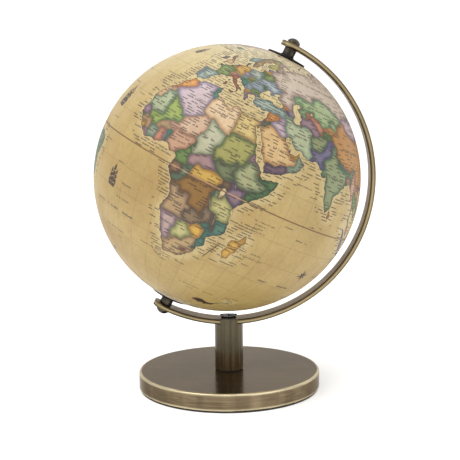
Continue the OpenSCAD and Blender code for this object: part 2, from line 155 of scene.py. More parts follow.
# One island or detached piece of a continent to a line.
ISLANDS = """
-180 68.9,-175 67.4,-169.8 66.1,-172.5 64.5,-176 65.4,-180 65
-5.6 50.1,-3.5 50.2,-3 50.7,-1.2 50.7,1.3 51.1,.8 51.5,1.7 52.7,.3 52.9,-.1 53.6,-1.2 54.7,-2 55.8,-3 56,\
-2.1 57.5,-4 57.7,-3.1 58.6,-5 58.6,-5.7 57.3,-5.5 56,-4.9 55.5,-4.9 54.8,-3.3 54.9,-3 53.5,-4.5 53.3,\
-4.2 52.5,-5.2 51.8,-3 51.5,-4.3 51.2
-6 52.2,-6 53.5,-5.6 54.6,-7.3 55.3,-8.5 54.5,-10 54.2,-9.2 53.2,-10.3 52,-9.5 51.5,-8 51.8
-22.7 63.8,-18.7 63.4,-14.7 64.3,-13.6 65.1,-14.8 66.3,-18.2 66.1,-20.5 65.8,-22.5 66.4,-24.3 65.6,\
-22 65.1,-24 64.8,-22 64.3
11 79.5,20 80.3,27 80,20 78.5,17 76.6,13.5 78
51.5 71.5,56 73.5,60 76,68.5 77,62 75.3,57 72.8,55.5 70.7
95 81,97 79,102 78,105 79,98 80.9
138 76,142 75.8,150 75.2,145 73.5,140 73.6
12.4 38,15.6 38.2,15.1 36.7,13.5 37.2
8.2 40.9,9.5 41.2,9.7 39.3,8.5 38.9
9.4 43,8.6 42.4,9.2 41.4,9.6 42.2
23.5 35.6,26.3 35.3,24.7 34.9,23.5 35.2
32.3 35,34.6 35.7,34 35,32.9 34.6
2.4 39.6,3.4 39.8,3.1 39.3
-16.8 28.4,-16.1 28.5,-16.6 28
-14.2 28.1,-13.9 28.8,-13.8 28.2
49.3 -12,50.4 -15.5,49.5 -17.5,48 -21.5,47.1 -24.9,45 -25.5,43.7 -23.4,43.4 -22,44.4 -20,44 -17.5,\
44.5 -16.2,46.4 -15.7,48 -13.9
79.9 9.6,81.2 8.6,81.8 7.2,80.6 6,79.8 7.2
95.4 5.6,98 4.2,100.5 2.2,103.7 -.8,106 -3,105.8 -5.8,104.5 -5.8,102.2 -3.8,100.3 -.8,98.7 1.7,96 4.1
105.2 -6.8,106.1 -5.9,108.6 -6.7,110.8 -6.4,112.7 -7,114.4 -7.8,114.4 -8.7,111 -8.2,108 -7.8,106.4 -7.4
109 1.5,109.7 2,111.3 2.5,113 3.2,115 5,116.8 7,119.2 5.3,117.8 3.8,119 1,117.5 .5,116.5 -2,116.2 -4,\
114.5 -4.1,111.7 -3.5,110 -1.6
119.6 -5.5,120.4 -5.5,120.3 -2.9,121.5 -4.7,122.9 -4.4,121.5 -2,123.4 -.9,120.1 -.9,120.1 .5,123.8 .4,\
125.2 1.6,124 .9,120.8 1.3,119.8 .1,119.2 -3.3
123.5 -10.3,125 -8.8,127.2 -8.4,125.5 -9.6
115.2 -8.3,119 -8.3,122.9 -8.3,122.7 -8.8,119.5 -8.8,115.5 -8.8
127.5 .8,128.5 1.6,128.2 -.8,127.8 -.5
126.5 -3.2,130.5 -3,130 -3.7,127 -3.6
131 -.8,134 -.8,135 -3.3,138 -1.6,141 -2.6,144.5 -3.9,147.8 -6,147.2 -7,150.8 -10.3,147.5 -10,144.5 -7.7,\
143.2 -9.2,141 -9.1,138.5 -8.3,138.7 -7,137.8 -5.3,134.8 -4.4,133 -4.1,132.8 -2.8,134 -2.4,132 -2.2
148.3 -5.6,150.5 -5.5,152.2 -4.2,152 -5.2,150 -6.3
157 -7,160.8 -9.2,162 -10.6,159.5 -9.6,157 -8
164 -20.1,167 -22.3,166.3 -22.2
177.3 -17.6,178.6 -17.6,178 -18.2
120.5 18.5,122.2 18.4,121.6 16,122 14,124 12.7,120.6 13.9,119.9 16.3
122 7,123.5 8.6,125.5 9.8,126.5 7.5,125.4 5.7,124 6.6
124.3 12.5,125.6 11.2,125 10.1
122 11.8,123.5 10.8,123 9.2,122 10.5
117.2 8.4,119.5 11.3,119.5 10.5,117.7 8.3
121.5 25.3,121.9 24.9,120.8 22,120.1 23.2
108.7 19.3,110.5 20.1,111 19.6,109.6 18.2
129.7 33.3,131 33.9,132 32.8,131.3 31.4,130.2 31.2
132.5 34,134.5 34.3,134.2 33.3,132.9 32.8
131 34.4,133 35.5,136 35.7,137 37.5,138.7 37.4,140 39.5,140.5 41.2,141.4 41.4,142 39.5,141 38.2,\
140.8 35.7,139.8 35,138.2 34.6,136.9 34.6,135.8 33.5,135 34.6,132.5 34.2
140 41.5,141.3 43.3,141.7 45.4,143.5 44.2,145.3 44.2,145.2 43.3,143.2 42,141.2 42.6
142 46,142.6 49,142 53.5,143 54.3,143.6 50,144.6 49,143 47.3,143.4 46.2
144.8 -40.8,148.3 -40.9,147.8 -43,146 -43.5,145.3 -42.4
172.8 -34.5,174.8 -36.5,178.4 -37.7,177 -39.5,175.3 -41.6,174.8 -41.2,173.8 -39.3,174.8 -38
172.7 -40.6,174.2 -41.5,172.8 -43.5,171 -45,169 -46.6,166.5 -46,168.5 -44,171 -42.5
-61.5 66.5,-68 69.5,-78 73,-88 73.5,-85 70.5,-78 70,-73 68,-72.5 66,-78 64.5,-71 62.7,-66 62.4,-64.5 64.5
-117 73,-106 73,-101.5 69.5,-106 68.8,-115 69.3,-118 71
-125 72,-123 74.3,-116 73,-120 71.6
-89 76.5,-78 76.3,-74 79,-62 82.5,-73 83.2,-90 81.5,-86 79
-92 76.6,-80 75.6,-83 74.5,-92 74.8
-116 75,-106 75.2,-108 76.5,-117 76.1
-95 78.3,-88 78.2,-87 80.2,-93 81
-95 72.8,-90.5 73,-91 74,-95 74
-102 73,-97 73.8,-97 71.5,-101 72
-87 65,-81 64,-84.5 62.9,-87 63.6
-59 47.7,-57.5 50.5,-55.5 51.5,-53 48.5,-53.2 46.7,-56 47
-128 50.7,-125 49.8,-123.4 48.4,-126 49.3
-133 54.1,-131.7 54,-131 52.1,-132.2 52.8
-154.5 57.5,-152.5 57.9,-153.5 56.9
-84.8 21.9,-82 23.1,-78 22.5,-74.2 20.2,-77.5 19.9,-78 20.8,-82 22.4
-74.4 18.4,-73 19.9,-70 19.7,-68.4 18.6,-71 18
-78.3 18.4,-76.3 18.1,-77.2 17.8
-67.2 18.4,-65.7 18.4,-66 18,-67.1 18
-61.5 10.7,-60.9 10.7,-61 10.1,-61.8 10.2
-61 -51.9,-58 -51.5,-59.5 -52.3
-156 20.2,-155 19.6,-155.8 19
-91.5 0,-90.9 -.4,-91.3 -1
-38 -54,-36 -54.5,-36.8 -54.8
69 -48.7,70.5 -49.1,69.3 -49.7
"""

# Inland water, one to a line; it is printed like the shallow sea.
LAKES = """
47 45.2,49 46.5,51.5 47,53 46.8,53 45.3,51 44.5,50.3 44.3,51.5 43.2,53 42,52.5 41.6,53.6 40.8,53 39,\
54 37,51 36.8,49 37.6,48.9 39,49.5 40.2,48 42,47.5 43
58.5 45.5,61.3 46.3,61 44.5,59 43.8
31.7 -.8,31.9 .9,33.2 1.3,34.3 .6,33.9 -1.2,33.5 -2.9,32 -3.3
29.3 -3.4,29.8 -5,30.8 -8.5,29.6 -6
34 -9.6,34.9 -12,34.9 -14.3,34.3 -12
36 4.6,36.6 2.6,35.9 3.5
104 51.6,107 53,110 55.8,108.5 53
73.5 45.4,76 46.5,79 46.6,76 45.9
30.5 61,32.9 60.3,31 59.9
34.5 62.6,36.2 61.5,35 61
-92 46.8,-89 48,-84.7 46.7,-87.5 46.5
-88 42,-87.8 45,-85 45.9,-86.3 43.5,-87 41.7
-84.5 46,-81 45.8,-81.7 43.3,-83.5 45
-83.4 41.8,-79 42.8,-82 41.5
-79.7 43.3,-76.5 44.2,-76.5 43.5
-99 53.8,-97 53,-96.8 50.4,-98.5 51.5
-116 61.3,-110 62.7,-113 61
-123 66,-118 66.5,-121 65
"""

# Two inks to a name: the country's middle, and the deeper wash along its borders.
INKS = {
    "parchment": ((222, 206, 182), (196, 172, 146)), "lilac": ((209, 187, 198), (152, 134, 168)),
    "orange": ((228, 170, 92), (206, 128, 58)), "sand": ((222, 196, 132), (184, 152, 90)),
    "sage": ((182, 192, 160), (118, 150, 124)), "lime": ((160, 178, 88), (98, 134, 66)),
    "teal": ((104, 152, 138), (58, 118, 106)), "peach": ((231, 201, 167), (212, 168, 128)),
    "salmon": ((222, 188, 162), (196, 146, 124)), "rose": ((214, 170, 142), (184, 130, 108)),
    "mist": ((200, 201, 177), (148, 166, 136)), "meadow": ((172, 168, 98), (96, 118, 70)),
    "moss": ((118, 128, 92), (86, 102, 76)), "mauve": ((178, 146, 150), (140, 110, 132)),
    "grass": ((116, 148, 80), (78, 118, 62)), "umber": ((146, 112, 84), (96, 76, 60)),
    "pine": ((116, 134, 108), (82, 110, 92)), "amber": ((222, 182, 88), (186, 140, 60)),
    "bronze": ((157, 115, 50), (128, 90, 44)), "violet": ((146, 122, 136), (88, 70, 112)),
    "celadon": ((171, 173, 132), (104, 124, 92)), "forest": ((90, 122, 74), (58, 94, 58)),
    "pear": ((206, 197, 138), (150, 160, 100)), "taupe": ((194, 162, 123), (140, 114, 98)),
    "earth": ((146, 122, 94), (102, 86, 80)), "lagoon": ((88, 134, 122), (54, 100, 94)),
    "rust": ((228, 182, 80), (198, 148, 60)), "dusk": ((200, 172, 170), (148, 120, 146)),
    "tan": ((198, 168, 122), (164, 132, 98)), "plum": ((122, 96, 112), (86, 66, 94)),
    "slate": ((156, 166, 142), (108, 132, 122)), "jade": ((188, 198, 168), (114, 152, 130)),
    "steel": ((174, 186, 176), (122, 148, 154)), "spring": ((176, 194, 150), (104, 150, 108)),
    "coral": ((208, 148, 120), (182, 114, 96)), "heather": ((164, 136, 152), (122, 96, 128)),
    "indigo": ((124, 118, 148), (90, 84, 134)), "leaf": ((151, 160, 120), (78, 120, 90)),
    "brick": ((192, 122, 84), (166, 92, 68)), "tangerine": ((200, 146, 78), (166, 108, 58)),
    "blush": ((212, 196, 184), (182, 156, 154)), "sky": ((178, 188, 194), (134, 150, 174)),
    "olive": ((140, 156, 92), (108, 130, 76)), "honey": ((224, 182, 98), (196, 144, 60)),
    "gold": ((204, 198, 126), (164, 156, 84)), "apricot": ((226, 190, 138), (200, 150, 98)),
}

# A country to a line, later ones over earlier ones: the side on the coast may run out to sea.
COUNTRIES = """
blush: 27 42,180 42,180 82,27 82
blush: -180 64,-169 64,-169 70,-180 70
blush: 19.8 54.4,22.8 54.4,21 55.3,19.8 55
blush: 28 60.5,31.5 62.8,29.8 64,30.1 65.6,29 66.9,28.8 69.2,31 69.5,40 72,60 70,60 50,27.4 51.9,28 59.3
orange: -14 28,-14 37,-2 37,-2.2 35,-1.2 32.5,-3.5 31,-5.5 29.8,-8.7 28.7,-8.7 27.7,-13.5 27.7
peach: -18 20.5,-18 27.7,-8.7 27.7,-8.7 26,-12 26,-12 23.4,-13 23,-13 21.3,-17.2 21
sage: -18 21,-13 21.3,-13 23,-12 23.4,-12 26,-8.7 26,-8.7 27.3,-4.8 25,-6.5 25,-5.6 16.5,-5.6 15.5,\
-9.3 15.5,-10.5 15.3,-12 14.8,-14 16.6,-16.5 16.2,-18 16
lime: -6.5 25,-4.8 25,1.2 21.2,3.3 19,4.2 19.2,4.2 17,3.5 15.4,.2 15,-2 14.2,-4 13.3,-5.3 11.3,-6.2 10.3,\
-8 10.2,-9 12.3,-11.4 12.4,-12.2 14.7,-10.5 15.4,-5.6 15.5,-5.6 16.5
lilac: -2.2 37,8.5 38,8.3 36.5,8.3 34,7.6 33.3,9 32.1,9.8 30,9.8 26.3,10 24.5,11.9 23.5,5.7 19.6,\
4.2 19.2,3.3 19,1.2 21.2,-4.8 25,-8.7 27.3,-8.7 28.7,-5.5 29.8,-3.5 31,-1.2 32.5,-2.2 35
teal: 8.5 38,12 38,11.7 33.2,11.5 32.4,10.2 30.3,9 32.1,7.6 33.3,8.3 34,8.3 36.5
peach: 12 34,25.1 33,25 31.6,25 20,24 20,24 19.5,15.9 23.4,14.2 22.6,11.9 23.5,10 24.5,9.8 26.3,9.8 30,\
10.2 30.3,11.5 32.4
sand: 25 33,34.3 33,34.3 31.3,34.9 29.5,34.6 27.5,37.5 22,25 22
salmon: 4.2 19.2,5.7 19.6,11.9 23.5,14.2 22.6,15 23,15.6 20,15.5 17,13.5 13.7,12 13.3,9 12.8,7 13.1,\
4 13.5,3.6 11.7,2.4 12,.5 13.5,.2 15,3.5 15.4,4.2 17
rose: 3.6 11.7,4 13.5,7 13.1,9 12.8,12 13.3,13.7 13.5,14.5 12,13 9.5,12 7.5,10.5 6.8,9.7 6.5,8.6 4.7,\
8.5 3.5,2.6 5,2.7 7.8,3.6 10
mist: 15 23,15.9 23.4,24 19.5,24 15.7,22.5 14.1,22 12.6,22.9 11,21 9.5,19 8.9,16.5 7.8,15.2 7.5,14 10,\
15.3 10,14.6 12.3,14 13,13.5 13.7,15.5 17,15.6 20
meadow: 25 22,37 22,38.6 18,37 17,36.4 14.5,36.2 13,34 10.6,33 12.2,31 9.8,27.9 9.5,26 10.2,24.5 8.7,\
23.5 9,22.9 11,22 12.6,22.5 14.1,24 15.7,24 20,25 20
moss: 24.5 8.7,26 10.2,27.9 9.5,31 9.8,33 12.2,34 10.6,34 9.5,33 8,35.3 5.4,34 4.2,31 3.6,29.5 4.4,\
27.4 5.1,25.5 7.2,24.2 8.3
mauve: 36.4 14.5,37 17,38.6 18.5,40.5 16,43.3 12.6,42.5 12.5,40.8 14.2,38 14.7
celadon: 36.4 14.5,38 14.7,40.8 14.2,42.4 12.4,41.8 11,43 10.8,42.8 10,44 9,47.9 8,45 5,42 4.2,39.5 3.5,\
38 3.6,36 4.4,35.3 5.4,33 8,34 9.5,34 10.6,36.2 13
brick: 41.8 11,42.4 12.4,43.3 12.7,43.5 11.3,43 10.8
forest: 43 11.6,52 12.5,52 9,42 -2.5,41 -1.7,41 2.8,42 4.2,45 5,47.9 8,44 9,42.8 10,43 10.8
violet: 34 4.2,36 4.4,38 3.6,39.5 3.5,42 4.2,41 2.8,41 -1.7,42 -2,39.5 -5,37.7 -3.6,34 -1,34 .3,35 2
umber: 31 3.6,34 4.2,35 2,34 .3,34 -1,29.6 -1.3,29.8 .8,31.2 2.3
teal: 29 -1.5,30.8 -1.2,30.6 -4.3,29.2 -4.4
pear: 30.5 -1,34 -1,37.7 -3.6,39.5 -5,41 -8,41 -10.5,38 -11.4,34.7 -11.5,34 -9.5,31 -8.6,29.5 -6.2,\
29.4 -4.4,30.6 -3.3
bronze: 11.5 -6,12.2 -4.8,14.4 -4.9,16 -3,16.5 -1,17.8 -.5,30 -.5,29.5 -1.3,29 -2.8,29.3 -4.4,29.5 -6.2,\
30.8 -8.3,28.8 -8.6,28.4 -11.8,29.8 -12.2,29.8 -13.4,27 -11.9,24 -11,22 -11.1,21.8 -7.3,19.5 -7,19 -8,\
17 -8,16.5 -5.9,13 -5.9
amber: 17.8 -.5,18 2,18.6 4.4,19.5 5.1,22.4 4.2,25 5,27.4 5.1,29.5 4.4,31 3.6,31.2 2.3,29.8 .8,29.7 -.5
pine: 11 -4,12.2 -4.8,14.4 -4.9,16 -3,17.8 -.5,18 2,18.6 3.6,16.2 2.2,13.2 2.2,14.4 1.3,14 -.5,14.4 -2,\
12.5 -2.4,11.6 -2.8
umber: 9 2.3,11.3 2.3,13.2 2.2,14.4 1.3,14 -.5,14.4 -2,12.5 -2.4,11.5 -2.8,11 -4,8 -1
grass: 8.5 3.5,8.6 4.7,9.7 6.5,10.5 6.8,12 7.5,13 9.5,14.5 12,14 13,15 12,15.3 10,14 10,15.2 7.5,\
14.5 5.5,16.2 2.2,13.2 2.2,9 2.3
mauve: 15.2 7.5,16.5 7.8,19 8.9,21 9.5,22.9 11,23.5 9,24.2 8.3,25.5 7.2,27.4 5.1,25 5,22.4 4.2,19.5 5.1,\
18.6 4.4,18.6 3.6,16.5 3.5,16.2 2.2,14.5 5.5
taupe: 12 -6,13 -5.9,16.5 -5.9,17 -8,19 -8,19.5 -7,21.8 -7.3,22 -11.1,24 -11,24 -13,22 -13,22 -16.2,\
23.3 -17.6,18.5 -17.4,14 -17.4,11 -17.3,10 -12
earth: 24 -13,24 -11,27 -11.9,29.8 -13.4,29.8 -12.2,28.4 -11.8,28.8 -8.6,30.8 -8.3,31 -8.6,33 -9.4,\
33.3 -12.5,32.9 -14,30.3 -15,30.4 -16,28.8 -16,27 -17.9,25.2 -17.8,23.3 -17.6,22 -16.2,22 -13
earth: 33 -9.4,34 -9.5,34.7 -11.5,34.9 -12,35.8 -14.8,35.3 -17,34.4 -16,34.5 -14.5,32.9 -14,33.3 -12.5
lagoon: 34.7 -11.5,38 -11.4,41 -10.5,41.5 -16,36 -25,32.5 -27,32 -26.8,31.9 -25.8,31.3 -22.4,32.5 -21.3,\
32.8 -19,33 -17.5,30.4 -16,30.3 -15,32.9 -14,34.5 -14.5,34.4 -16,35.3 -17,35.8 -14.8,34.9 -12
rust: 25.2 -17.8,27 -17.9,28.8 -16,30.4 -16,33 -17.5,32.8 -19,32.5 -21.3,31.3 -22.4,29.4 -22.2,\
27.7 -20.5,26 -19
pear: 21 -18.3,23.3 -17.9,25.2 -17.8,26 -19,27.7 -20.5,29.4 -22.2,27 -23.6,25.6 -25.6,23 -25.3,\
20.8 -26.8,20 -24.8,20 -22,21 -22
dusk: 11 -17.3,14 -17.4,18.5 -17.4,23.3 -17.6,25.2 -17.8,23.3 -17.9,21 -18.3,21 -22,20 -22,20 -28.4,\
17.5 -28.8,16.4 -28.6,15 -29,10 -20
tan: 14 -28.6,16.4 -28.6,17.5 -28.8,20 -28.4,20 -24.8,20.8 -26.8,23 -25.3,25.6 -25.6,27 -23.6,29.4 -22.2,\
31.3 -22.4,31.9 -25.8,32 -26.8,34 -27,30 -36,16 -36
brick: 27 -29.6,28.7 -28.6,29.4 -29.6,28.2 -30.6
lagoon: 30.8 -26.3,31.9 -25.8,32 -27.2,31 -27.2
rust: 42 -27,51 -27,51 -11,42 -11
heather: -18.5 16.5,-16.5 16.2,-14 16.6,-12.2 14.7,-11.4 12.4,-13.7 12.6,-16.7 12.3,-18.5 12.3
grass: -17.5 12.3,-16.7 12.3,-13.7 12.6,-13.8 11.7,-15.2 11,-17 10.8
tan: -15.2 11,-13.8 11.7,-13.7 12.6,-11.4 12.4,-9 12.3,-8 10.2,-7.9 8.5,-8.3 7.6,-9.4 7.4,-10.6 8.3,\
-11.2 10,-12.4 9.9,-13.3 9,-15 9.3
honey: -13.5 9.1,-12.4 9.9,-11.2 10,-10.6 8.3,-11.4 6.9,-14 7
mauve: -11.5 6.9,-10.6 8.3,-9.4 7.4,-8.3 7.6,-7.5 5.8,-7.5 4,-12 5
slate: -8 10.2,-6.2 10.3,-5 10.3,-2.8 9.7,-2.9 5,-3 4.3,-7.5 4,-7.5 5.8,-8.3 7.6,-7.9 8.5
tan: -5.3 11.3,-4 13.3,-2 14.2,.2 15,.5 13.5,2.4 12,.9 11,-2.8 11,-2.8 9.7,-5 10.3
coral: -2.8 9.7,-2.8 11,0 11,.5 8.5,1.1 6,1.2 5.5,-3 4.3,-2.9 5
dusk: 0 11,.9 11,1.6 9,1.7 6,1.2 5.5,1.1 6,.5 8.5
teal: .9 11,2.4 12,3.6 11.7,3.6 10,2.7 7.8,2.7 5.8,1.7 5.8,1.6 9
apricot: 34.9 29.5,36.8 29.8,37.8 31,39 32,42 31.1,44.7 29.2,46.5 29.1,48.4 28.5,50.5 26,50.8 24.8,\
51.6 24.2,52.6 22.9,55.2 22.7,55.7 22,55 20,52 19,49.1 18.6,47.4 17,43.4 17.4,42.8 16.4,41 16,34 27
mauve: 34 31.3,34.9 29.5,35.5 31.5,35.7 33.2,36.5 34.5,35 34.7,34 32
moss: 34.9 29.5,36.8 29.8,37.8 31,39 32,38.8 33.4,36.8 32.3,35.6 32.7,35.5 31.5
orange: 35.5 36,36.5 37,42.3 37.1,41.3 34.5,38.8 33.4,36.8 32.3,35.7 33,36.4 34.6,35.5 35
lilac: 42.3 37.1,44.8 37.1,46.2 35,45.5 34,47.8 31,48.5 30,47.9 29.7,46.5 29.1,44.7 29.2,42 31.1,39 32,\
38.8 33.4,41.3 34.5
grass: 46.5 29.1,47.9 30.1,49 29.5,48.4 28.5
mauve: 50.7 24.6,51.7 24.5,51.5 26.5,50.6 26
rust: 51.6 24.2,54 24.8,56.4 26.4,56.5 25,55.8 24.2,55.2 22.7,52.6 22.9
slate: 56.5 27,56.4 24.9,55.8 24.2,55.2 22.7,55.7 22,55 20,52 19,53.1 16.6,53 15,61 20,61 23.5,57 25
plum: 42 16.4,42.8 16.4,43.4 17.4,47.4 17,49.1 18.6,52 19,53.1 16.6,53 14,43 11.8,41.8 14
jade: 44.8 39.7,46.5 38.9,48 39.6,48.9 38.4,50 37,54 36.8,54 37.4,57 38.2,59.3 37.5,61.2 36.6,60.6 34.5,\
60.9 31.5,61.8 31,60.9 29.8,63.2 27.2,61.6 25,61 24,55 25.5,50 28,48.5 30,47.8 31,45.5 34,46.2 35,\
44.8 37.1,44.4 38.4
steel: 26 42,28 42,31 43,41.5 41.5,43.5 41.1,44.8 39.7,44.4 38.4,44.8 37.1,42.3 37.1,36.5 37,35.8 35.8,\
35 35.5,25 35.8,25.8 40.5
orange: 39.5 43,40 43.4,43 43,46.5 41.8,45 41.3,43.5 41.1,41.5 41.5,41 41.5
violet: 43.5 41.1,45 41.3,46.5 39.5,46.5 38.9,44.8 39.7
lilac: 46.5 41.8,48.5 41.9,50.5 40.3,49 38.4,48 39.6,46.5 38.9,46.5 39.5,45 41.3
heather: 52 41.8,54 42.3,57 41.3,58.5 42.8,60.1 42.2,62 41,64.5 38.9,66.5 37.4,64.5 36,62.3 35.3,\
61.2 36.6,59.3 37.5,57 38.2,54 37.4,53 37,52 39
coral: 56 41.3,56 45,58.5 45.6,61 44.4,62 43.5,65 43.7,66.5 42,68 41,71 42.2,73 40.7,70.5 40,69 40.1,\
67.5 39,68.3 38,67.8 37.2,66.5 37.4,64.5 38.9,62 41,60.1 42.2,58.5 42.8,57 41.3
spring: 46.5 48.5,47 50,51 51.5,55 51,59.5 50.8,61.5 51.5,61 53.8,69 55.2,73.5 54,77 53.3,80 51,83.5 51,\
87.3 49.1,85.5 47.2,82.3 45.4,80 45,80.3 43,80 42.2,74 43.2,71 42.2,68 41,66.5 42,65 43.7,62 43.5,\
61 44.4,58.5 45.6,56 45,56 41.3,54 42.3,52 41.8,50 43,49 46,48 47
honey: 71 42.2,74 43.2,80 42.2,76 40.4,73.8 39.6,70.5 39.6,70.5 40,73 40.7
grass: 67.8 37.2,68.3 38,67.5 39,69 40.1,70.5 40,70.5 39.6,73.8 39.6,75 37.4,71.6 36.6,71.5 37.9,70 37.6
leaf: 60.6 34.5,61.2 36.6,62.3 35.3,64.5 36,66.5 37.4,67.8 37.2,70 37.6,71.5 37.9,71.6 36.6,75 37.4,\
71.5 36.2,71 34.2,69.5 33,69.3 31.9,66.3 29.9,60.9 29.8,61.8 31,60.9 31.5
indigo: 60.9 29.8,66.3 29.9,69.3 31.9,69.5 33,71 34.2,71.5 36.2,75 37.4,77.8 35.5,74 34.5,75.3 32.2,\
73.8 30,70 28,70 26.5,71 24.5,68 23.5,66 24,61 24,61.6 25,63.2 27.2
leaf: 68 23.5,71 24.5,70 26.5,70 28,73.8 30,75.3 32.2,74 34.5,77.8 35.5,79 34.5,78.5 31.5,81 30.3,\
80.2 28.8,83 27.5,88 26.5,88.2 27.9,89 26.8,92 26.9,92 27.8,95 29,97.3 28.2,95 26.5,94 24,93.2 22,\
92.4 21,92.4 23.5,91.5 24,92.3 25,89.8 25.3,88.2 24.3,89 22,89 20,80.2 11,79.6 9.2,79 5,76 5,66 20
orange: 79.4 10,82.5 10,82.5 5.5,79.4 5.5
teal: 80.2 28.8,81 30.3,86 28,88.2 27.9,88 26.5,83 27.5
rose: 88.2 24.3,89.8 25.3,92.3 25,91.5 24,92.4 23.5,92.4 21,89 20,89 22
rose: 92.4 21,93.2 22,94 24,95 26.5,97.3 28.2,98.6 27.5,98 24,101 21.5,100 20.4,98 19.7,97.5 18,\
98.8 15.5,99.6 11.8,98.8 10,97 9,92 16
grass: 98 19.7,100 20.4,101 19.5,102 18,104.5 18,105.5 14.3,103 14,102.9 12,100 12.5,101 7,102 6,101 5.6,\
97 7,98.8 10,99.6 11.8,98.8 15.5,97.5 18
orange: 100 20.4,101 21.5,102.2 22.4,104.5 20,107.5 16,107.5 14.4,105.5 14.3,104.5 18,102 18,101 19.5
gold: 102.9 12,103 14,105.5 14.3,107.5 14.4,107.5 12.3,106 11,104.5 10.4,103 10
violet: 102.2 22.4,105 23.3,108 21.5,110 18,110.5 11,105 8,104.5 10.4,106 11,107.5 12.3,107.5 14.4,\
107.5 16,104.5 20
indigo: 94 6.5,98 6,105 1.5,108 4,119 1,128 4,141 1,141 -10,127.2 -9,124.5 -9.4,123 -11,104 -9
coral: 99.8 6.5,101 5.6,102 6.3,104.6 1.3,103.4 1,99.8 4
coral: 109 1.2,110 1.2,112.5 1.5,115 2.5,117.7 4.2,120 5.5,116.8 7.8,109 3
honey: 141 0,141 -11,156 -12,156 -1
rose: 117 13,116.5 8,119 5,127 4.5,127.5 12,123 19.5,119 19
tangerine: 73.8 39.6,75 37.4,77.8 35.5,79 34.5,78.5 31.5,81 30.3,86 28,88.2 27.9,89 26.8,92 26.9,92 27.8,\
95 29,97.3 28.2,98.6 27.5,98 24,101 21.5,102.2 22.4,105 23.3,108 21.5,110 18,112 18,123 24,124 32,\
124 38.5,124.2 40,126 41.6,128 42,130.7 42.4,131 44.9,134.8 48.4,130.9 47.7,127.5 50,125.7 53,120.9 53.3,\
119.8 50,116.7 49.8,119.9 46.8,111.8 45,111.5 43.5,105 41.6,97 42.7,91 45.2,90.5 47.5,87.8 49.1,\
87.3 49.1,85.5 47.2,82.3 45.4,80 45,80.3 43,80 42.2,76 40.4
lilac: 87.8 49.1,92 50.8,98.5 50.6,98 52,102 51.3,107 50.2,116.7 49.8,119.9 46.8,111.8 45,111.5 43.5,\
105 41.6,97 42.7,91 45.2,90.5 47.5
mauve: 124.2 40,126 41.6,128 42,130.7 42.4,131 41,129 38.6,126.5 37.8,124 37.8
grass: 126.5 37.8,129 38.6,130 38,130 34,125 33.5,125 37.8
rose: 129 30.5,133 30.5,146 41,146.5 45,140.5 46,138.5 39,129 34.8
gold: 119.5 21.5,122.5 21.5,122.5 26,119.5 26
steel: 4 57.5,11 58.8,12 60,12.5 63,14.2 64.5,15 66.3,18 68.4,20.3 69,23.5 68.8,26 70,28.8 69.2,31 69.5,\
31.5 71.8,24 72,4 63
tan: 11 58.8,12 60,12.5 63,14.2 64.5,15 66.3,18 68.4,20.3 69,23.6 67.5,24.2 65.5,21 63.5,19.5 60,19.5 56,\
13 55,11 57
gold: 20.3 69,23.5 68.8,26 70,28.8 69.2,29 66.9,30.1 65.6,29.8 64,31.5 62.8,28 60.5,26 59.8,20 59.6,\
20.5 63.5,24.2 65.5,23.6 67.5
lilac: 22 59.8,28.2 59.6,27.5 57.5,24.4 57.9,21.5 58
honey: 20.5 56.2,21.5 58,24.4 57.9,27.5 57.5,28.2 56.1,26.6 55.7,21 56.3
grass: 20.8 55.2,21 56.3,26.6 55.7,25.6 54,23.5 54,22.8 54.4
olive: 23.5 54,25.6 54,26.6 55.7,28.2 56.1,30.9 55.6,31 54.5,32.6 53.2,31.5 52.2,23.6 51.6,23.9 52.7
sky: 22.2 48.4,24 50.6,23.6 51.6,31.5 52.2,34 52.2,35.5 50.4,40 49.6,38.3 47.6,38.2 46.5,35 44.9,34 44,\
32 44.5,30 45,28.3 45.4,30 46.5,29.2 48,26.6 48.3,24.8 47.7
grass: 26.6 48.3,29.2 48,30 46.5,28.3 45.4,28.1 46.5
sky: 20.3 46.1,22.2 48.4,24.8 47.7,26.6 48.3,28.1 46.5,28.3 45.4,30 45,28.6 43.8,27 44.1,22.7 44.2,\
21.4 44.8
olive: 22.7 44.2,27 44.1,28.8 43.8,28.2 42,26.3 41.7,23 41.3,22.4 42.3
mauve: 20 39.7,21 40.8,23 41.3,26.3 41.7,26.1 40.6,27 36,26.5 34.5,23 34.5,20.5 37.5,19.6 39.7
honey: 19.3 41.9,20.5 42.3,22.4 42.3,23 41.3,21 40.8,20 39.7,19 40.3
sky: 19 44.9,18.8 45.9,20.3 46.1,21.4 44.8,22.7 44.2,22.4 42.3,20.5 42.3,19.3 41.9,18.5 42.4
teal: 13.5 45.5,13.7 46.5,16.1 46.9,18.8 45.9,19 44.9,18.5 42.4,15 43.5,13.3 44.8
olive: 16.1 46.9,17 48,18.8 47.8,22.2 48.4,20.3 46.1,18.8 45.9,16.5 46.5
steel: 9.6 47.5,13 47.6,13.8 48.7,17 48.8,17 48,16.1 46.9,13.7 46.5,10.4 46.6
gold: 17 48,17 48.8,18.8 49.5,22.7 49.1,22.2 48.4,18.8 47.8
lilac: 12.2 50.2,14.6 51,18.8 49.5,17 48.8,13.8 48.7
steel: 14.2 54,14.6 51,18.8 49.5,22.7 49.1,24 50.6,23.6 51.6,23.9 52.7,23.5 54,22.8 54.4,19.6 54.4,18 55
honey: 5.8 51.2,6 51.8,7 53.5,7 54,8.5 55,9.5 54.9,14.3 54.2,14.6 51,12.2 50.2,13.8 48.7,13 47.6,\
9.6 47.5,7.6 47.6,8.2 49,6.2 49.5
grass: 7.5 54.9,9.5 54.9,13 54.9,13 56,10.8 58,7.5 57
mauve: 3.4 51.4,5 53.7,7 53.5,6 51.8,5.8 51.2
honey: 2.5 51.2,3.4 51.4,5.8 51.2,6.2 49.5,4.2 50
rose: 6 46.3,7.6 47.6,9.6 47.5,10.4 46.6,9 45.9,7 45.9
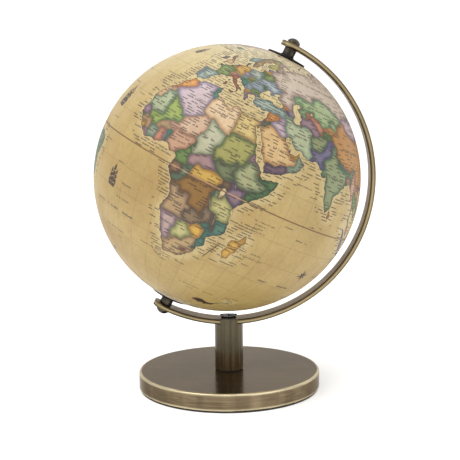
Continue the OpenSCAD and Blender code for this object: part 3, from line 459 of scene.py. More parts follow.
brick: 6.8 45.8,9 45.9,10.4 46.6,12.3 47,13.7 46.5,13.5 45.5,13.6 45,19 41,19 37,12 36,7 38,7.6 43.6,\
6.8 44.2
olive: -6 49,-4 51,1.6 51.3,2.5 51.2,4.2 50,6.2 49.5,8.2 49,7.6 47.6,6 46.3,7 45.9,6.8 44.2,7.6 43.6,\
9.9 43.5,9.9 41.3,8 41.3,3.2 42.4,-1.8 43.3,-3 44
steel: -9.5 44,-1.8 43.9,-1.8 43.3,3.2 42.4,5 39,-2 35.8,-7.4 36.5,-7.4 37.2,-7 38.2,-7.4 39.7,-6.8 41,\
-6.5 42,-8.8 42,-10 42
sky: -10 42,-8.8 42,-6.5 42,-6.8 41,-7.4 39.7,-7 38.2,-7.4 37.2,-7.4 36.5,-10 36.5
peach: -6 49.5,2.5 51,2.5 59.2,-7 59.5,-6.8 55.9,-5.6 54.9,-5 53
mauve: -11 51,-5.9 51.6,-5.5 55.2,-8 55.8,-11 54.5
sage: -25 63,-13 63,-13 67,-25 67
salmon: -170 52,-168 68,-156 72,-141 70.5,-141 60.3,-130 54.7,-135 55,-150 55
lilac: -141 60.3,-141 70.5,-125 80,-60 84,-60 62,-50 50,-52 46,-64 43,-67.2 44.8,-67.8 47.2,-71 45,\
-75 45,-79 43,-83 42,-83 46,-89 48,-95 49,-123.2 49,-125 48.4,-134 51,-130 54.7
salmon: -125 49,-123.2 49,-95 49,-89 48,-83 46,-83 42,-79 43,-75 45,-71 45,-67.8 47.2,-67.2 44.8,-66 43,\
-78 30,-80 24,-97.3 25.8,-101 29.5,-103 29,-106.5 31.8,-111 31.3,-114.8 32.5,-118 32.5,-126 40
sage: -118 32.5,-114.8 32.5,-111 31.3,-106.5 31.8,-103 29,-101 29.5,-97.3 25.8,-95 20,-86 22,-88 18,\
-92.2 14.5,-108 17,-118 28
honey: -92.4 14.5,-91.5 17.8,-88 18,-86 16,-83 15,-87.8 12.9
mauve: -87.8 12.9,-83 15,-82.5 10,-77.3 8.7,-78 6.5,-84 8,-88 12
spring: -85.5 21.5,-82 24,-74 20.5,-75 19.5,-85 21
coral: -74.8 17.5,-74.8 20.2,-68 20,-68 18
olive: -79 11.5,-77.3 8.7,-78.8 1.5,-75.3 0,-70 -4.2,-69.5 1,-67.3 1.2,-67.5 6.2,-72.4 7.4,-72.5 11,\
-71 12.6
peach: -71 12.6,-72.5 11,-72.4 7.4,-67.5 6.2,-67.3 1.2,-65.5 .8,-64.5 4.1,-61 4.6,-60 8.6,-61 11
lilac: -60 8.6,-61 4.6,-59.8 4.6,-59.5 1.6,-56.5 1.9,-57.5 3.5,-57.2 6.2
sand: -57.2 6.2,-57.5 3.5,-56.5 1.9,-54.2 2.3,-51.6 4.2,-54 6.5
pine: -51.6 4.2,-54.2 2.3,-56.5 1.9,-59.5 1.6,-59.8 4.6,-61 4.6,-64.5 4.1,-65.5 .8,-67.3 1.2,-69.5 1,\
-70 -4.2,-73.5 -7.5,-72.8 -9.5,-70.5 -9.5,-69.5 -11,-65.3 -10,-65 -12,-60.2 -13.8,-60.2 -16.3,\
-58.2 -16.5,-57.8 -19.5,-58 -22,-55.6 -22.3,-54.3 -24,-54.6 -25.6,-53.8 -27,-57.6 -30.2,-53.4 -33.8,\
-50 -33,-46 -26,-36 -22,-33 -6,-48 3
rose: -82 -3.4,-80.3 -4.4,-78.4 -4.6,-75.3 0,-78.8 1.5,-82 1
honey: -82 -3.4,-80.3 -4.4,-78.4 -4.6,-75.3 -.1,-70 -4.2,-73.5 -7.5,-72.8 -9.5,-70.5 -9.5,-69.5 -11,\
-69 -15,-69.5 -17.5,-70.4 -18.3,-78 -17,-84 -5
jade: -69.5 -11,-65.3 -10,-65 -12,-60.2 -13.8,-60.2 -16.3,-58.2 -16.5,-57.8 -19.5,-62.5 -20,-62.8 -22,\
-67.8 -22.8,-69.5 -17.5,-69 -15
salmon: -62.5 -20,-57.8 -19.5,-58 -22,-55.6 -22.3,-54.3 -24,-54.6 -25.6,-58.6 -27.3,-57.6 -25.4,-62.8 -22
dusk: -67 -22.8,-62.8 -22,-57.6 -25.4,-58.6 -27.3,-54.6 -25.6,-53.8 -27,-57.6 -30.2,-58.4 -34,-55 -38,\
-62 -56,-68.6 -55,-68.6 -52.4,-72 -52,-71.6 -39,-69.9 -33,-68.4 -27
gold: -57.6 -30.2,-53.4 -33.8,-54 -36,-58.4 -34
coral: -67 -22.8,-68.4 -27,-69.9 -33,-71.6 -39,-72 -52,-68.6 -52.4,-68.6 -56,-78 -50,-74 -18,-70.4 -18.3,\
-69.5 -17.5
peach: 112 -10,155 -10,155 -40,112 -40
jade: 144 -44,149 -44,149 -40.3,144 -40.3
leaf: 166 -34,179 -34,179 -48,166 -48
dusk: -75 59,-40 59,-15 70,-10 84,-60 84,-75 79
parchment: -180 -60,180 -60,180 -90,-180 -90
"""
# Words on the sea, as (west, east, latitude, height): strokes stand for letters, nothing can be read.
SEA_WORDS = [
    (-16, -11, -9.3, .7), (-10, -4, -16.7, .9), (-12, -3, -23, .9), (-30, -22, -28.5, 1.2),
    (-19, -10, -28.5, 1.2), (-7, 0, -28.5, 1.2), (-22, -6, -38, .7), (-12, -8, -41.5, .7), (-2, 4, 4.3, .6),
    (0, 7.5, 3.1, .6), (6, 28, -36, .65), (14, 24, -37.2, .65), (-25, -16, 32.8, .6), (-20, -15, 31, .6),
    (-24, -18, 27.5, .6), (-28, -23, 18.5, .6), (49, 58, -4.7, .65), (50, 55, -6.2, .6), (50, 54, -7.5, .6),
    (50, 56, -9, .6), (50, 54, -15, .6), (49.6, 52.6, -17.5, .6), (55, 60, -18.3, .6), (51, 62, -20.5, .6),
    (49, 53, -21.8, .6), (54, 58, -24, .6), (49, 53, -25.6, .6), (57, 62, 17, .7), (59, 67, 14.7, .7),
    (67, 71, 12, .6), (52, 57, 11.6, .6), (70, 77, -6, .7), (67, 73, -28.5, 1.2), (80, 89, -28.5, 1.2),
    (33, 46, -47, .7), (49, 56, -47.5, .7), (38, 43, -48.8, .6), (62, 66, -2.5, .6), (73, 76, 1, .6),
    (-36, -30, 5, .6), (-33, -26, -4, .6), (-60, -42, 30, 1.2), (-45, -36, 22, .7), (-95, -80, -20, 1.2),
    (-120, -104, -12, 1.2), (-140, -120, 18, 1.2), (-150, -128, -32, 1.2), (-175, -160, -8, 1.2),
    (155, 172, 22, 1.2), (145, 165, 8, .8), (155, 172, -38, 1.2), (96, 108, -35, 1.2), (100, 110, -20, .8),
    (-30, -14, 60, .7), (-170, -152, 42, 1.2), (-125, -108, -50, 1),
]
# Names of countries, larger than the town names that the material scatters.
LAND_WORDS = [
    (-2, 7, 27.4, 1.1), (14, 22, 26.8, 1.1), (26.5, 32, 26.4, .9), (25.5, 33, 14.6, 1), (16, 21, 15.6, .9),
    (6, 12, 17.6, .9), (-5, 1, 18.6, .9), (4.5, 11, 9.2, .8), (18.5, 27, -1.4, 1), (16, 21.5, -12, .9),
    (14.5, 19, -21.5, .8), (20.5, 28, -30.2, 1), (31.5, 37, -6.4, .8), (36.6, 42.6, 8.6, .8),
    (41, 50, 23.8, 1.1), (50.5, 58.5, 32.6, 1), (57, 76, 48.4, 1.2), (74.5, 82.5, 22.6, 1),
    (84, 103, 36, 1.3), (45, 92, 61, 1.4), (29.5, 37, 39, .8), (45.6, 48.4, -19.4, .6),
    (-5.8, -1, 39.6, .8), (1, 5.4, 46.6, .8), (8.4, 13, 51, .7), (-112, -84, 40, 1.4),
    (-120, -92, 56, 1.4), (-62, -46, -9, 1.3), (-67, -60, -34, 1), (122, 144, -25, 1.4),
    (97, 114, 46.4, 1), (-106, -99, 24.4, .9),
]
# Little drawings on the sea, as (longitude, latitude, size in degrees), and strokes from place to place.
SHIPS = [(-17, -15.8, 4.9), (-30.5, 51, 3.4), (-36, 15, 5.4), (-95, -28, 4.6), (-150, 15, 4.4),
         (170, 32, 4.4), (108, -48, 4.0)]
STARS = [(89, -20.1, 4), (-120, 30, 2.8), (-25, -52, 2.4)]
SEA_BEASTS = [(56.3, -56, 4.8), (-130, -45, 4.5), (158, -32, 3.5)]
STREAKS = [(37.4, -28.6, 41, -20.2, .35), (69, -50.9, 71.5, -49.9, .9)]

# ---------------------------------------------------------------- sizes and the ball's pose, from the CAD
SPIN = next(j for j in frame["joints"] if j["name"] == "globe_spin")
BALL_PIVOT = Vector(SPIN["pos_m"])
AXIS = Vector(SPIN["axis"]).normalized()
SKIN_OUTSIDE, SKIN_INSIDE = 0.09995, 0.0997    # metres: the CAD's map sheet, its face 0.05 mm deeper
POLE_HOLE_LATITUDE = 86.0    # the edge of the holes that the axle passes
FRONT_LONGITUDE = 35.3       # the meridian that faces the front of the stand
FRONT = Vector((0, -1, 0))
FRONT_EAST = AXIS.cross(FRONT)    # the way east, for a place that faces the front


def mercator(latitude):
    return math.degrees(math.asinh(math.tan(math.radians(latitude))))


def from_mercator(y):
    return math.degrees(math.atan(math.sinh(math.radians(y))))


def on_ball(lon, lat, radius):
    """Points of the ball about its middle, as an array, from arrays of longitudes and latitudes."""
    s = np.radians(np.asarray(lon) - FRONT_LONGITUDE)[..., None]
    la = np.radians(np.asarray(lat))[..., None]
    flat = np.cos(s) * np.array(FRONT) + np.sin(s) * np.array(FRONT_EAST)
    return radius * (np.cos(la) * flat + np.sin(la) * np.array(AXIS))


# ---------------------------------------------------------------- outlines
MESH_STEP = 1.6                          # degrees: straight sides are cut into pieces no longer than this
STRAIGHT_SIDE = 14                       # degrees: longer sides are not bent, as they only close an outline
COAST_BEND, COAST_STEP = 0.17, 0.75      # the most that a middle is pushed, over the length of its side,
BORDER_BEND, BORDER_STEP = 0.07, 1.3     # and the degrees below which a side is not halved again


def held(value, limit):
    return max(-limit, min(limit, value))


def outline(text):
    """The corners that the text lists, kept within one turn and off the poles."""
    corners = [map(float, pair.split()) for pair in text.replace("\n", " ").split(",") if pair.strip()]
    return [(held(x, 180.0), held(y, POLE_HOLE_LATITUDE)) for x, y in corners]


def reach(a, b):
    """The larger of the differences in longitude and latitude between a and b."""
    return max(abs(b[0] - a[0]), abs(b[1] - a[1]))


def bent(a, b, rng, amount, step):
    """The points between a and b after halving it again and again, each middle pushed sideways."""
    shrink = math.cos(math.radians((a[1] + b[1]) / 2))
    dx, dy = (b[0] - a[0]) * shrink, b[1] - a[1]
    if math.hypot(dx, dy) < step:
        return []
    push = rng.uniform(-amount, amount)
    middle = ((a[0] + b[0]) / 2 - push * dy / shrink, (a[1] + b[1]) / 2 + push * dx)
    return bent(a, middle, rng, amount, step) + [middle] + bent(middle, b, rng, amount, step)


def evenly(a, b):
    """The points that cut the straight side from a to b into pieces no longer than the mesh step."""
    n = max(1, math.ceil(reach(a, b) / MESH_STEP))
    return [(a[0] + (b[0] - a[0]) * k / n, a[1] + (b[1] - a[1]) * k / n) for k in range(1, n)]


def crinkled(ring, amount, step):
    """The ring with bent sides. A side bends alike in each ring that has it, so neighbours still meet."""
    out = []
    for a, b in zip(ring, ring[1:] + ring[:1]):
        low, high = min(a, b), max(a, b)
        if reach(a, b) > STRAIGHT_SIDE or abs(a[0]) == abs(b[0]) == 180:
            middle = evenly(low, high)
        else:
            middle = bent(low, high, random.Random(f"{low}{high}"), amount, step)
        out += [a] + (middle if (a, b) == (low, high) else middle[::-1])
    return out


def inside(points, ring):
    """Which points are inside the ring, by counting the sides that a line running east crosses."""
    r = np.array(ring)
    hit = np.zeros(len(points), bool)
    near = np.flatnonzero(((points >= r.min(0)) & (points <= r.max(0))).all(1))
    x, y = points[near].T
    odd = np.zeros(len(near), bool)
    for (x0, y0), (x1, y1) in zip(r, np.roll(r, -1, 0)):
        if y0 == y1:
            continue
        crosses = (y0 > y) != (y1 > y)
        odd ^= crosses & (x < x0 + (y - y0) * (x1 - x0) / (y1 - y0))
    hit[near] = odd
    return hit


def coast_rings(texts):
    return [crinkled(outline(text), COAST_BEND, COAST_STEP) for text in texts]


land_rings = coast_rings([AFRICA, EURASIA, NORTH_AMERICA, SOUTH_AMERICA, AUSTRALIA, ANTARCTICA, GREENLAND]
                         + ISLANDS.strip().splitlines())
lake_rings = coast_rings(LAKES.strip().splitlines())
country_inks, country_rings = [], []
for line in COUNTRIES.strip().splitlines():
    ink_name, text = line.split(":")
    country_inks.append(ink_name)
    country_rings.append(crinkled(outline(text), BORDER_BEND, BORDER_STEP))
SEA, LAKE, BARE_LAND, FIRST_COUNTRY = 0, 1, 2, 3
SCATTERED = ("blush", "parchment")    # all the outlines in one of these inks are one country
country_number = [country_inks.index(ink) if ink in SCATTERED else i for i, ink in enumerate(country_inks)]


def regions(points):
    """The region of each point: sea, lake, a country by its place in the list, or land with no country."""
    found = np.full(len(points), SEA)
    land = np.zeros(len(points), bool)
    for ring in land_rings:
        land |= inside(points, ring)
    found[land] = BARE_LAND
    for number, ring in zip(country_number, country_rings):
        found[land & inside(points, ring)] = FIRST_COUNTRY + number
    for ring in lake_rings:
        found[land & inside(points, ring)] = LAKE
    return found


# A coarse picture of the regions, which says where the mesh has to be fine.
RASTER, RASTER_TOP = 0.5, 84    # degrees from sample to sample, and the highest latitude
raster_lon = np.arange(-180 + RASTER / 2, 180, RASTER)
raster_lat = np.arange(-RASTER_TOP + RASTER / 2, RASTER_TOP, RASTER)
raster_places = np.stack(np.meshgrid(raster_lon, raster_lat), -1).reshape(-1, 2)
raster = regions(raster_places).reshape(len(raster_lat), len(raster_lon))


def region_at(lon, lat):
    row = int(min(max((lat + RASTER_TOP) / RASTER, 0), len(raster_lat) - 1))
    return raster[row, int((lon + 180) / RASTER) % len(raster_lon)]


# ---------------------------------------------------------------- little drawings on the sea
def blob(lon, lat, east, north, corners, turn=0.0):
    """A closed outline about a place: corners in units of the half sizes, turned by degrees."""
    shrink = math.cos(math.radians(lat))
    c, s = math.cos(math.radians(turn)), math.sin(math.radians(turn))
    return [(lon + (x * east * c - y * north * s) / shrink, lat + x * east * s + y * north * c)
            for x, y in corners]


def ship(lon, lat, size):
    """A little ship in old-chart style: hull, three masts of bellied sails and pennants."""
    parts = [[(-1.05, -.5), (-.85, -.98), (.75, -1), (1.1, -.45), (.7, -.66), (-.6, -.7)]]
    sails = 3
    for mast, low, high, wide in ((-.58, -.66, .5, .4), (.04, -.66, .92, .5), (.66, -.6, .55, .38)):
        for k in range(sails):
            y0 = low + (high - low) * k / sails
            y1 = y0 + (high - low) / sails * .9
            y_mid = (y0 + y1) / 2
            w0, w1 = wide * (1 - .2 * k), wide * (.86 - .2 * k)
            parts.append([(mast - w0, y0), (mast + w0 * .7, y0 + .02), (mast + w0, y_mid),
                          (mast + w1, y1), (mast - w1 * .8, y1), (mast - w0 * .75, y_mid)])
        parts.append([(mast, high), (mast + .3, high + .06), (mast, high + .12)])
    return [blob(lon, lat, size * .55, size, p, -6) for p in parts]


def star(lon, lat, size):
    """A chart's compass star of eight points."""
    corners = []
    for k in range(16):
        length = 1 if k % 4 == 0 else .68 if k % 4 == 2 else .3
        corners.append((length * math.sin(math.pi * k / 8), length * math.cos(math.pi * k / 8)))
    return [blob(lon, lat, size, size, corners, 20)]


def sea_beast(lon, lat, size):
    """A humped back, a head and a raised tail, as on old charts."""
    body = [(-1, -.1), (-.7, .5), (-.3, .75), (.2, .4), (.6, .3), (1, .9), (.95, -.1), (.5, -.5), (-.3, -.55),
            (-.8, -.5)]
    fins = [[(-.5, -.5), (-.2, -.9), (-.05, -.5)], [(.2, -.5), (.45, -.85), (.5, -.45)]]
    return [blob(lon, lat, size, size * .6, p) for p in [body] + fins]


def streak(west, south, east, north, wide):
    """A straight dark stroke between two places."""
    across = wide / 2 / math.hypot(east - west, north - south)
    dx, dy = -(north - south) * across, (east - west) * across
    return [[(west + dx, south + dy), (west - dx, south - dy),
             (east - dx, north - dy), (east + dx, north + dy)]]


DRAWN_PLACES = ((ship, SHIPS), (star, STARS), (sea_beast, SEA_BEASTS), (streak, STREAKS))
drawings = [ring for draw, places in DRAWN_PLACES for place in places for ring in draw(*place)]

# ---------------------------------------------------------------- the map's mesh
LAND_STEP, SEA_STEP = 1.15, 2.6    # degrees between the mesh points inside the regions
SEA_SHARE = .5                     # the share of the points at sea that is kept
LAND_NEAR = 3                      # degrees: the sea this close to land is as fine as land
JITTER = .15                       # degrees: how far a point may be shifted by chance
MESH_TOP = 85                      # degrees: the latitude that the points stop short of
EDGE_STEP = 1.5                    # degrees between the points along the equator and the 180th meridian
HOLE_STEP = 4                      # degrees between the points around a pole hole


def spaced_points():
    """Mesh points: close together on land, wider out at sea."""
    around = [(0, 0), (LAND_NEAR, 0), (-LAND_NEAR, 0), (0, LAND_NEAR), (0, -LAND_NEAR)]
    points = []
    rng = random.Random(5)
    lat = .5 - MESH_TOP
    while lat < MESH_TOP:
        shrink = math.cos(math.radians(lat))
        lon = -179 + rng.uniform(0, 1)
        while lon < 179.4:
            kinds = {region_at((lon + dx / shrink + 180) % 360 - 180, lat + dy) for dx, dy in around}
            on_land = max(kinds) >= BARE_LAND
            if on_land or rng.random() < SEA_SHARE:
                points.append((lon + rng.uniform(-JITTER, JITTER), lat + rng.uniform(-JITTER, JITTER)))
            lon += (LAND_STEP if on_land else SEA_STEP) / shrink
        lat += LAND_STEP
    return points


def word_ring(word):
    """The outline of a word's box."""
    west, east, south, north = word
    corners = [(west, south), (east, south), (east, north), (west, north)]
    return [p for a, b in zip(corners, corners[1:] + corners[:1]) for p in [a] + evenly(a, b)]


def triangulated(words):
    """The flat map, cut into triangles along every outline: the places of the corners, and the triangles."""
    points, sides = [], []

    def add_ring(ring, closed=True):
        first = len(points)
        points.extend(ring)
        n = len(ring)
        sides.extend((first + k, first + (k + 1) % n) for k in range(n if closed else n - 1))

    for ring in land_rings + lake_rings + country_rings + drawings + [word_ring(w) for w in words]:
        add_ring(ring)
    edge_lats = set(np.arange(1.0 - MESH_TOP, MESH_TOP, EDGE_STEP)) | {0.0}
    edge_lats |= {y for x, y in points if abs(x) == 180}
    edge_lats = sorted(y for y in edge_lats if abs(y) < POLE_HOLE_LATITUDE)
    top = [(float(x), POLE_HOLE_LATITUDE) for x in np.arange(-180, 181, HOLE_STEP)]
    east_edge = [(180.0, y) for y in edge_lats[::-1]]
    bottom = [(x, -POLE_HOLE_LATITUDE) for x, _ in top[::-1]]
    add_ring(top + east_edge + bottom + [(-180.0, y) for y in edge_lats])
    add_ring([(float(x), 0.0) for x in np.arange(-180, 180.1, EDGE_STEP)], closed=False)
    points.extend(spaced_points())
    flat = [Vector((x, mercator(y))) for x, y in points]
    corners, _, faces, _, _, _ = delaunay_2d_cdt(flat, sides, [], 0, 1e-6)
    lonlat = np.array([(c.x, from_mercator(c.y)) for c in corners])
    lonlat[np.abs(lonlat[:, 1]) < 1e-4, 1] = 0
    return lonlat, np.array(faces)


def fill_bare_land(region, neighbours):
    """Slivers of land that no country's outline reached take the region beside them."""
    changed = True
    while changed:
        changed = False
        for f in np.flatnonzero(region == BARE_LAND):
            beside = [region[g] for g in neighbours[f] if region[g] >= FIRST_COUNTRY]
            if beside:
                region[f] = beside[0]
                changed = True


def neighbouring(faces):
    """The pairs of faces on the two sides of each inner side, by side, and the faces beside each face."""
    by_side = {}
    for f, face in enumerate(faces):
        for k in range(3):
            side = tuple(sorted((int(face[k]), int(face[(k + 1) % 3]))))
            by_side.setdefault(side, []).append(f)
    pairs = {side: pair for side, pair in by_side.items() if len(pair) == 2}
    neighbours = [[] for _ in faces]
    for f, g in pairs.values():
        neighbours[f].append(g)
        neighbours[g].append(f)
    return pairs, neighbours


MARKS = 4    # marks along each side, from which distances are measured


def distance_to(sides, lonlat, where):
    """Degrees from each place to the nearest of the sides, measured on the ball."""
    ends = np.array(sides)
    a, b = (on_ball(lonlat[ends[:, k], 0], lonlat[ends[:, k], 1], 1) for k in (0, 1))
    marks = np.vstack([a + (b - a) * (k + .5) / MARKS for k in range(MARKS)])
    tree = KDTree(len(marks))
    for n, mark in enumerate(marks):
        tree.insert(mark, n)
    tree.balance()
    return np.array([math.degrees(tree.find(p)[2]) for p in where])


# ---------------------------------------------------------------- inks and words on the mesh
ON_SEA, DRAWN, ON_LAKE, ON_LAND = 0, .25, .5, 1    # what the alpha of the layer named heart says
SEA_INK = ((202, 173, 112), (228, 209, 164))       # open sea, and beside the coasts
TOP_LIGHT_INK = (244, 236, 214)                        # painted top light: the sea of the far north fades towards this
DRAWING_INK = (66, 44, 28)
PRINT_STRENGTH = (216, 218, 210)                   # the varnish darkens every ink by this much
LETTER = .46                                       # degrees from one letter of a listed word to the next
WORDS_APART = 40                                   # letters from one listed word to the next: none look alike
NO_WORD = -1.0
FARTHEST = 9                                       # degrees: distances are not told apart beyond this


def linear(v):
    v /= 255
    return v / 12.92 if v <= .04045 else ((v + .055) / 1.055) ** 2.4


def srgb(r, g, b):
    return linear(r), linear(g), linear(b)


def word_corners(words, word_of, lonlat, faces):
    """For each face of a listed word, where its corners are: letters along the word, and 0 to 1 up it."""
    uv = np.full((len(faces), 3, 2), NO_WORD)
    for f in np.flatnonzero(word_of >= 0):
        west, _, south, north = words[word_of[f]]
        tall = north - south
        shrink = math.cos(math.radians((south + north) / 2))
        pitch = LETTER * (.4 + .8 * tall)
        corners = lonlat[faces[f]]
        uv[f, :, 0] = (corners[:, 0] - west) * shrink / pitch + WORDS_APART * word_of[f]
        uv[f, :, 1] = (corners[:, 1] - south) / tall
    return uv


def printed_map():
    """Everything about the printed map, before it is cut at the equator."""
    words = [(west, east, lat - tall / 2, lat + tall / 2) for west, east, lat, tall in SEA_WORDS + LAND_WORDS]
    lonlat, faces = triangulated(words)
    centres = lonlat[faces].mean(1)
    region = regions(centres)
    pairs, neighbours = neighbouring(faces)
    fill_bare_land(region, neighbours)
    borders = [side for side, (f, g) in pairs.items() if region[f] != region[g]]
    coast = [side for side, (f, g) in pairs.items() if (region[f] < BARE_LAND) != (region[g] < BARE_LAND)]

    inks = np.array([[srgb(*ink) for ink in SEA_INK]] * len(faces))
    kinds = np.full(len(faces), float(ON_SEA))
    for i, ink_name in enumerate(country_inks):
        inks[region == FIRST_COUNTRY + i] = [srgb(*ink) for ink in INKS[ink_name]]
    kinds[region >= BARE_LAND] = ON_LAND
    inks[region == BARE_LAND] = [srgb(*ink) for ink in INKS["parchment"]]
    kinds[region == LAKE] = ON_LAKE
    for ring in drawings:
        within = inside(centres, ring)
        kinds[within] = DRAWN
        inks[within] = srgb(*DRAWING_INK)
    word_of = np.full(len(faces), -1)
    for i, (west, east, south, north) in enumerate(words):
        word_of[((centres > (west, south)) & (centres < (east, north))).all(1)] = i

    where = on_ball(lonlat[:, 0], lonlat[:, 1], 1)
    from_border, from_coast = (np.minimum(distance_to(s, lonlat, where), FARTHEST) for s in (borders, coast))
    from_border[np.unique(borders)] = 0
    return {"lonlat": lonlat, "faces": faces, "inks": inks, "kinds": kinds,
            "words": word_corners(words, word_of, lonlat, faces),
            "distances": np.stack([from_border, from_coast], 1)}


SEAM_GAP = 0.006    # degrees between the equator and the rim of each half of the skin


def merged_corners(used, skin, gap):
    """The corners of the used faces, one for both where the map's two edges meet, and the faces by number."""
    number = {}
    places = []
    index = np.zeros(used.shape, int)
    for i, face in enumerate(used):
        for k, corner in enumerate(face):
            lon, lat = skin["lonlat"][corner]
            key = (round(-180.0 if lon >= 180 - 1e-6 else float(lon), 5), round(float(lat), 5))
            if key not in number:
                number[key] = len(places)
                places.append((lon, gap if lat == 0 else lat, *skin["distances"][corner]))
            index[i, k] = number[key]
    return np.array(places), index


def half_map(name, north, skin):
    """One half of the printed skin as a closed thin shell: printed face, inner face and the rims between."""
    lonlat, faces = skin["lonlat"], skin["faces"]
    in_north = lonlat[faces][:, :, 1].mean(1) > 0
    pick = np.flatnonzero(in_north if north else ~in_north)
    place, index = merged_corners(faces[pick], skin, SEAM_GAP if north else -SEAM_GAP)
    whole = (index != np.roll(index, 1, 1)).all(1)
    index, pick = index[whole], pick[whole]
    outer, inner, unit = (on_ball(place[:, 0], place[:, 1], r) for r in (SKIN_OUTSIDE, SKIN_INSIDE, 1))
    a, b, c = (outer[index[:, k]] for k in range(3))
    order = np.where((np.cross(b - a, c - a) * a).sum(1)[:, None] < 0, [[2, 1, 0]], [[0, 1, 2]])
    index = np.take_along_axis(index, order, 1)
    used = np.take_along_axis(faces[pick], order, 1)

    n = len(place)
    sides = dict.fromkeys(side for a, b, c in index for side in ((a, b), (b, c), (c, a)))
    rim_faces = [(b, a, a + n, b + n) for a, b in sides if (b, a) not in sides]
    polygons = [tuple(f) for f in index] + [tuple(f[::-1] + n) for f in index] + rim_faces
    mesh = bpy.data.meshes.new(name)
    mesh.from_pydata([Vector(p) + BALL_PIVOT for p in np.vstack([outer, inner])], [], polygons)
    mesh.update()
    printed = len(index) * 3

    def per_corner(values, rest):
        """The values on the printed face, and rest on the inner face and the rims, for foreach_set."""
        full = np.full((len(mesh.loops), values.shape[1]), rest, np.float32)
        full[:printed] = values
        return full.ravel()

    places = lonlat[used].reshape(-1, 2) / [360, 180] + .5
    words = np.take_along_axis(skin["words"][pick], order[:, :, None], 1).reshape(-1, 2)
    for layer, values, rest in (("place", places, 0), ("words", words, NO_WORD)):
        mesh.uv_layers.new(name=layer).data.foreach_set("uv", per_corner(values, rest))
    kinds = skin["kinds"][pick]
    for layer, k, alpha in (("heart", 0, kinds), ("rim", 1, np.full(len(pick), .5))):
        values = np.repeat(np.column_stack([skin["inks"][pick, k], alpha]), 3, 0)
        mesh.attributes.new(layer, "FLOAT_COLOR", "CORNER").data.foreach_set("color", per_corner(values, .5))
    for layer, column in (("border", 2), ("coast", 3)):
        values = np.tile(place[:, column], 2).astype(np.float32)
        mesh.attributes.new(layer, "FLOAT", "POINT").data.foreach_set("value", values)

    normals = np.zeros((len(mesh.loops), 3))
    normals[:printed] = unit[index].reshape(-1, 3)
    normals[printed:2 * printed] = -unit[index[:, ::-1]].reshape(-1, 3)
    for p in list(mesh.polygons)[2 * len(index):]:
        normals[p.loop_start:p.loop_start + p.loop_total] = p.normal
    mesh.polygons.foreach_set("use_smooth", np.ones(len(mesh.polygons), bool))
    mesh.normals_split_custom_set([tuple(v) for v in normals])
    return add_object(name, mesh)


def add_object(name, data):
    obj = bpy.data.objects.new(name, data)
    bpy.context.scene.collection.objects.link(obj)
    return obj


# ---------------------------------------------------------------- materials
class Net:
    """Short names for the nodes that the materials below are wired from."""

    def __init__(self, name):
        self.material = bpy.data.materials.new(name)
        self.material.use_nodes = True
        self.tree = self.material.node_tree
        self.shader = next(n for n in self.tree.nodes if n.type == "BSDF_PRINCIPLED")

    def node(self, kind, **settings):
        n = self.tree.nodes.new("ShaderNode" + kind)
        for key, value in settings.items():
            setattr(n, key, value)
        return n

    def put(self, socket, value):
        if hasattr(value, "is_output"):
            self.tree.links.new(value, socket)
        elif value is not None:
            socket.default_value = value

    def fill(self, node, *values):
        """The node's first output, with the values on its first inputs."""
        for socket, value in zip(node.inputs, values):
            self.put(socket, value)
        return node.outputs[0]

    def math(self, operation, *values):
        return self.fill(self.node("Math", operation=operation), *values)

    def times(self, first, *others):
        for other in others:
            first = self.math("MULTIPLY", first, other)
        return first

    def plus(self, a, b):
        return self.math("ADD", a, b)

    def minus(self, a, b):
        return self.math("SUBTRACT", a, b)

    def scaled(self, value, by, more):
        """value times by, and more."""
        return self.math("MULTIPLY_ADD", value, by, more)

    def swayed(self, value, noise, amount):
        """value moved up and down by the noise."""
        return self.scaled(self.minus(noise, .5), amount, value)

    def over(self, value, limit):
        return self.math("GREATER_THAN", value, limit)

    def under(self, value, limit):
        return self.math("LESS_THAN", value, limit)

    def within(self, value, low, high):
        return self.times(self.over(value, low), self.under(value, high))

    def length(self, a, b):
        return self.math("SQRT", self.plus(self.times(a, a), self.times(b, b)))

    def ramp(self, value, low, high, to_low=0.0, to_high=1.0):
        """value from low..high carried smoothly to to_low..to_high, held outside."""
        node = self.node("MapRange", interpolation_type="SMOOTHSTEP")
        return self.fill(node, value, low, high, to_low, to_high)

    def mix(self, factor, a, b, blend="MIX"):
        n = self.node("Mix", data_type="RGBA", blend_type=blend)
        self.put(n.inputs[0], factor)
        for socket, colour in ((n.inputs[6], a), (n.inputs[7], b)):
            self.put(socket, (*colour, 1) if isinstance(colour, tuple) else colour)
        return n.outputs[2]

    def stain(self, ground, factor, colour, blend="MULTIPLY"):
        """ground with the colour over it."""
        return self.mix(factor, ground, srgb(*colour), blend)

    def noise(self, vector, scale, detail=3.0, roughness=.55):
        n = self.node("TexNoise")
        settings = {"Vector": vector, "Scale": scale, "Detail": detail, "Roughness": roughness}
        for name, value in settings.items():
            self.put(n.inputs[name], value)
        return n.outputs["Fac"]

    def place(self, scale=(1, 1, 1)):
        """Object coordinates, stretched."""
        n = self.node("Mapping")
        self.put(n.inputs["Vector"], self.node("TexCoord").outputs["Object"])
        self.put(n.inputs["Scale"], scale)
        return n.outputs[0]

    def split(self, vector):
        n = self.node("SeparateXYZ")
        self.put(n.inputs[0], vector)
        return n.outputs

    def chance(self, *vector):
        """A number from 0 to 1 that depends on the vector alone."""
        n = self.node("TexWhiteNoise", noise_dimensions="3D")
        self.put(n.inputs["Vector"], self.fill(self.node("CombineXYZ"), *vector))
        return n.outputs["Value"]

    def attribute(self, name):
        return self.node("Attribute", attribute_name=name)

    def bump(self, height, strength, distance):
        n = self.node("Bump")
        for name, value in (("Strength", strength), ("Distance", distance), ("Height", height)):
            self.put(n.inputs[name], value)
        self.put(self.shader.inputs["Normal"], n.outputs[0])

    def surface(self, **sockets):
        for name, value in sockets.items():
            value = (*value, 1) if isinstance(value, tuple) else value
            self.put(self.shader.inputs[name.replace("_", " ").title()], value)
        return self.material


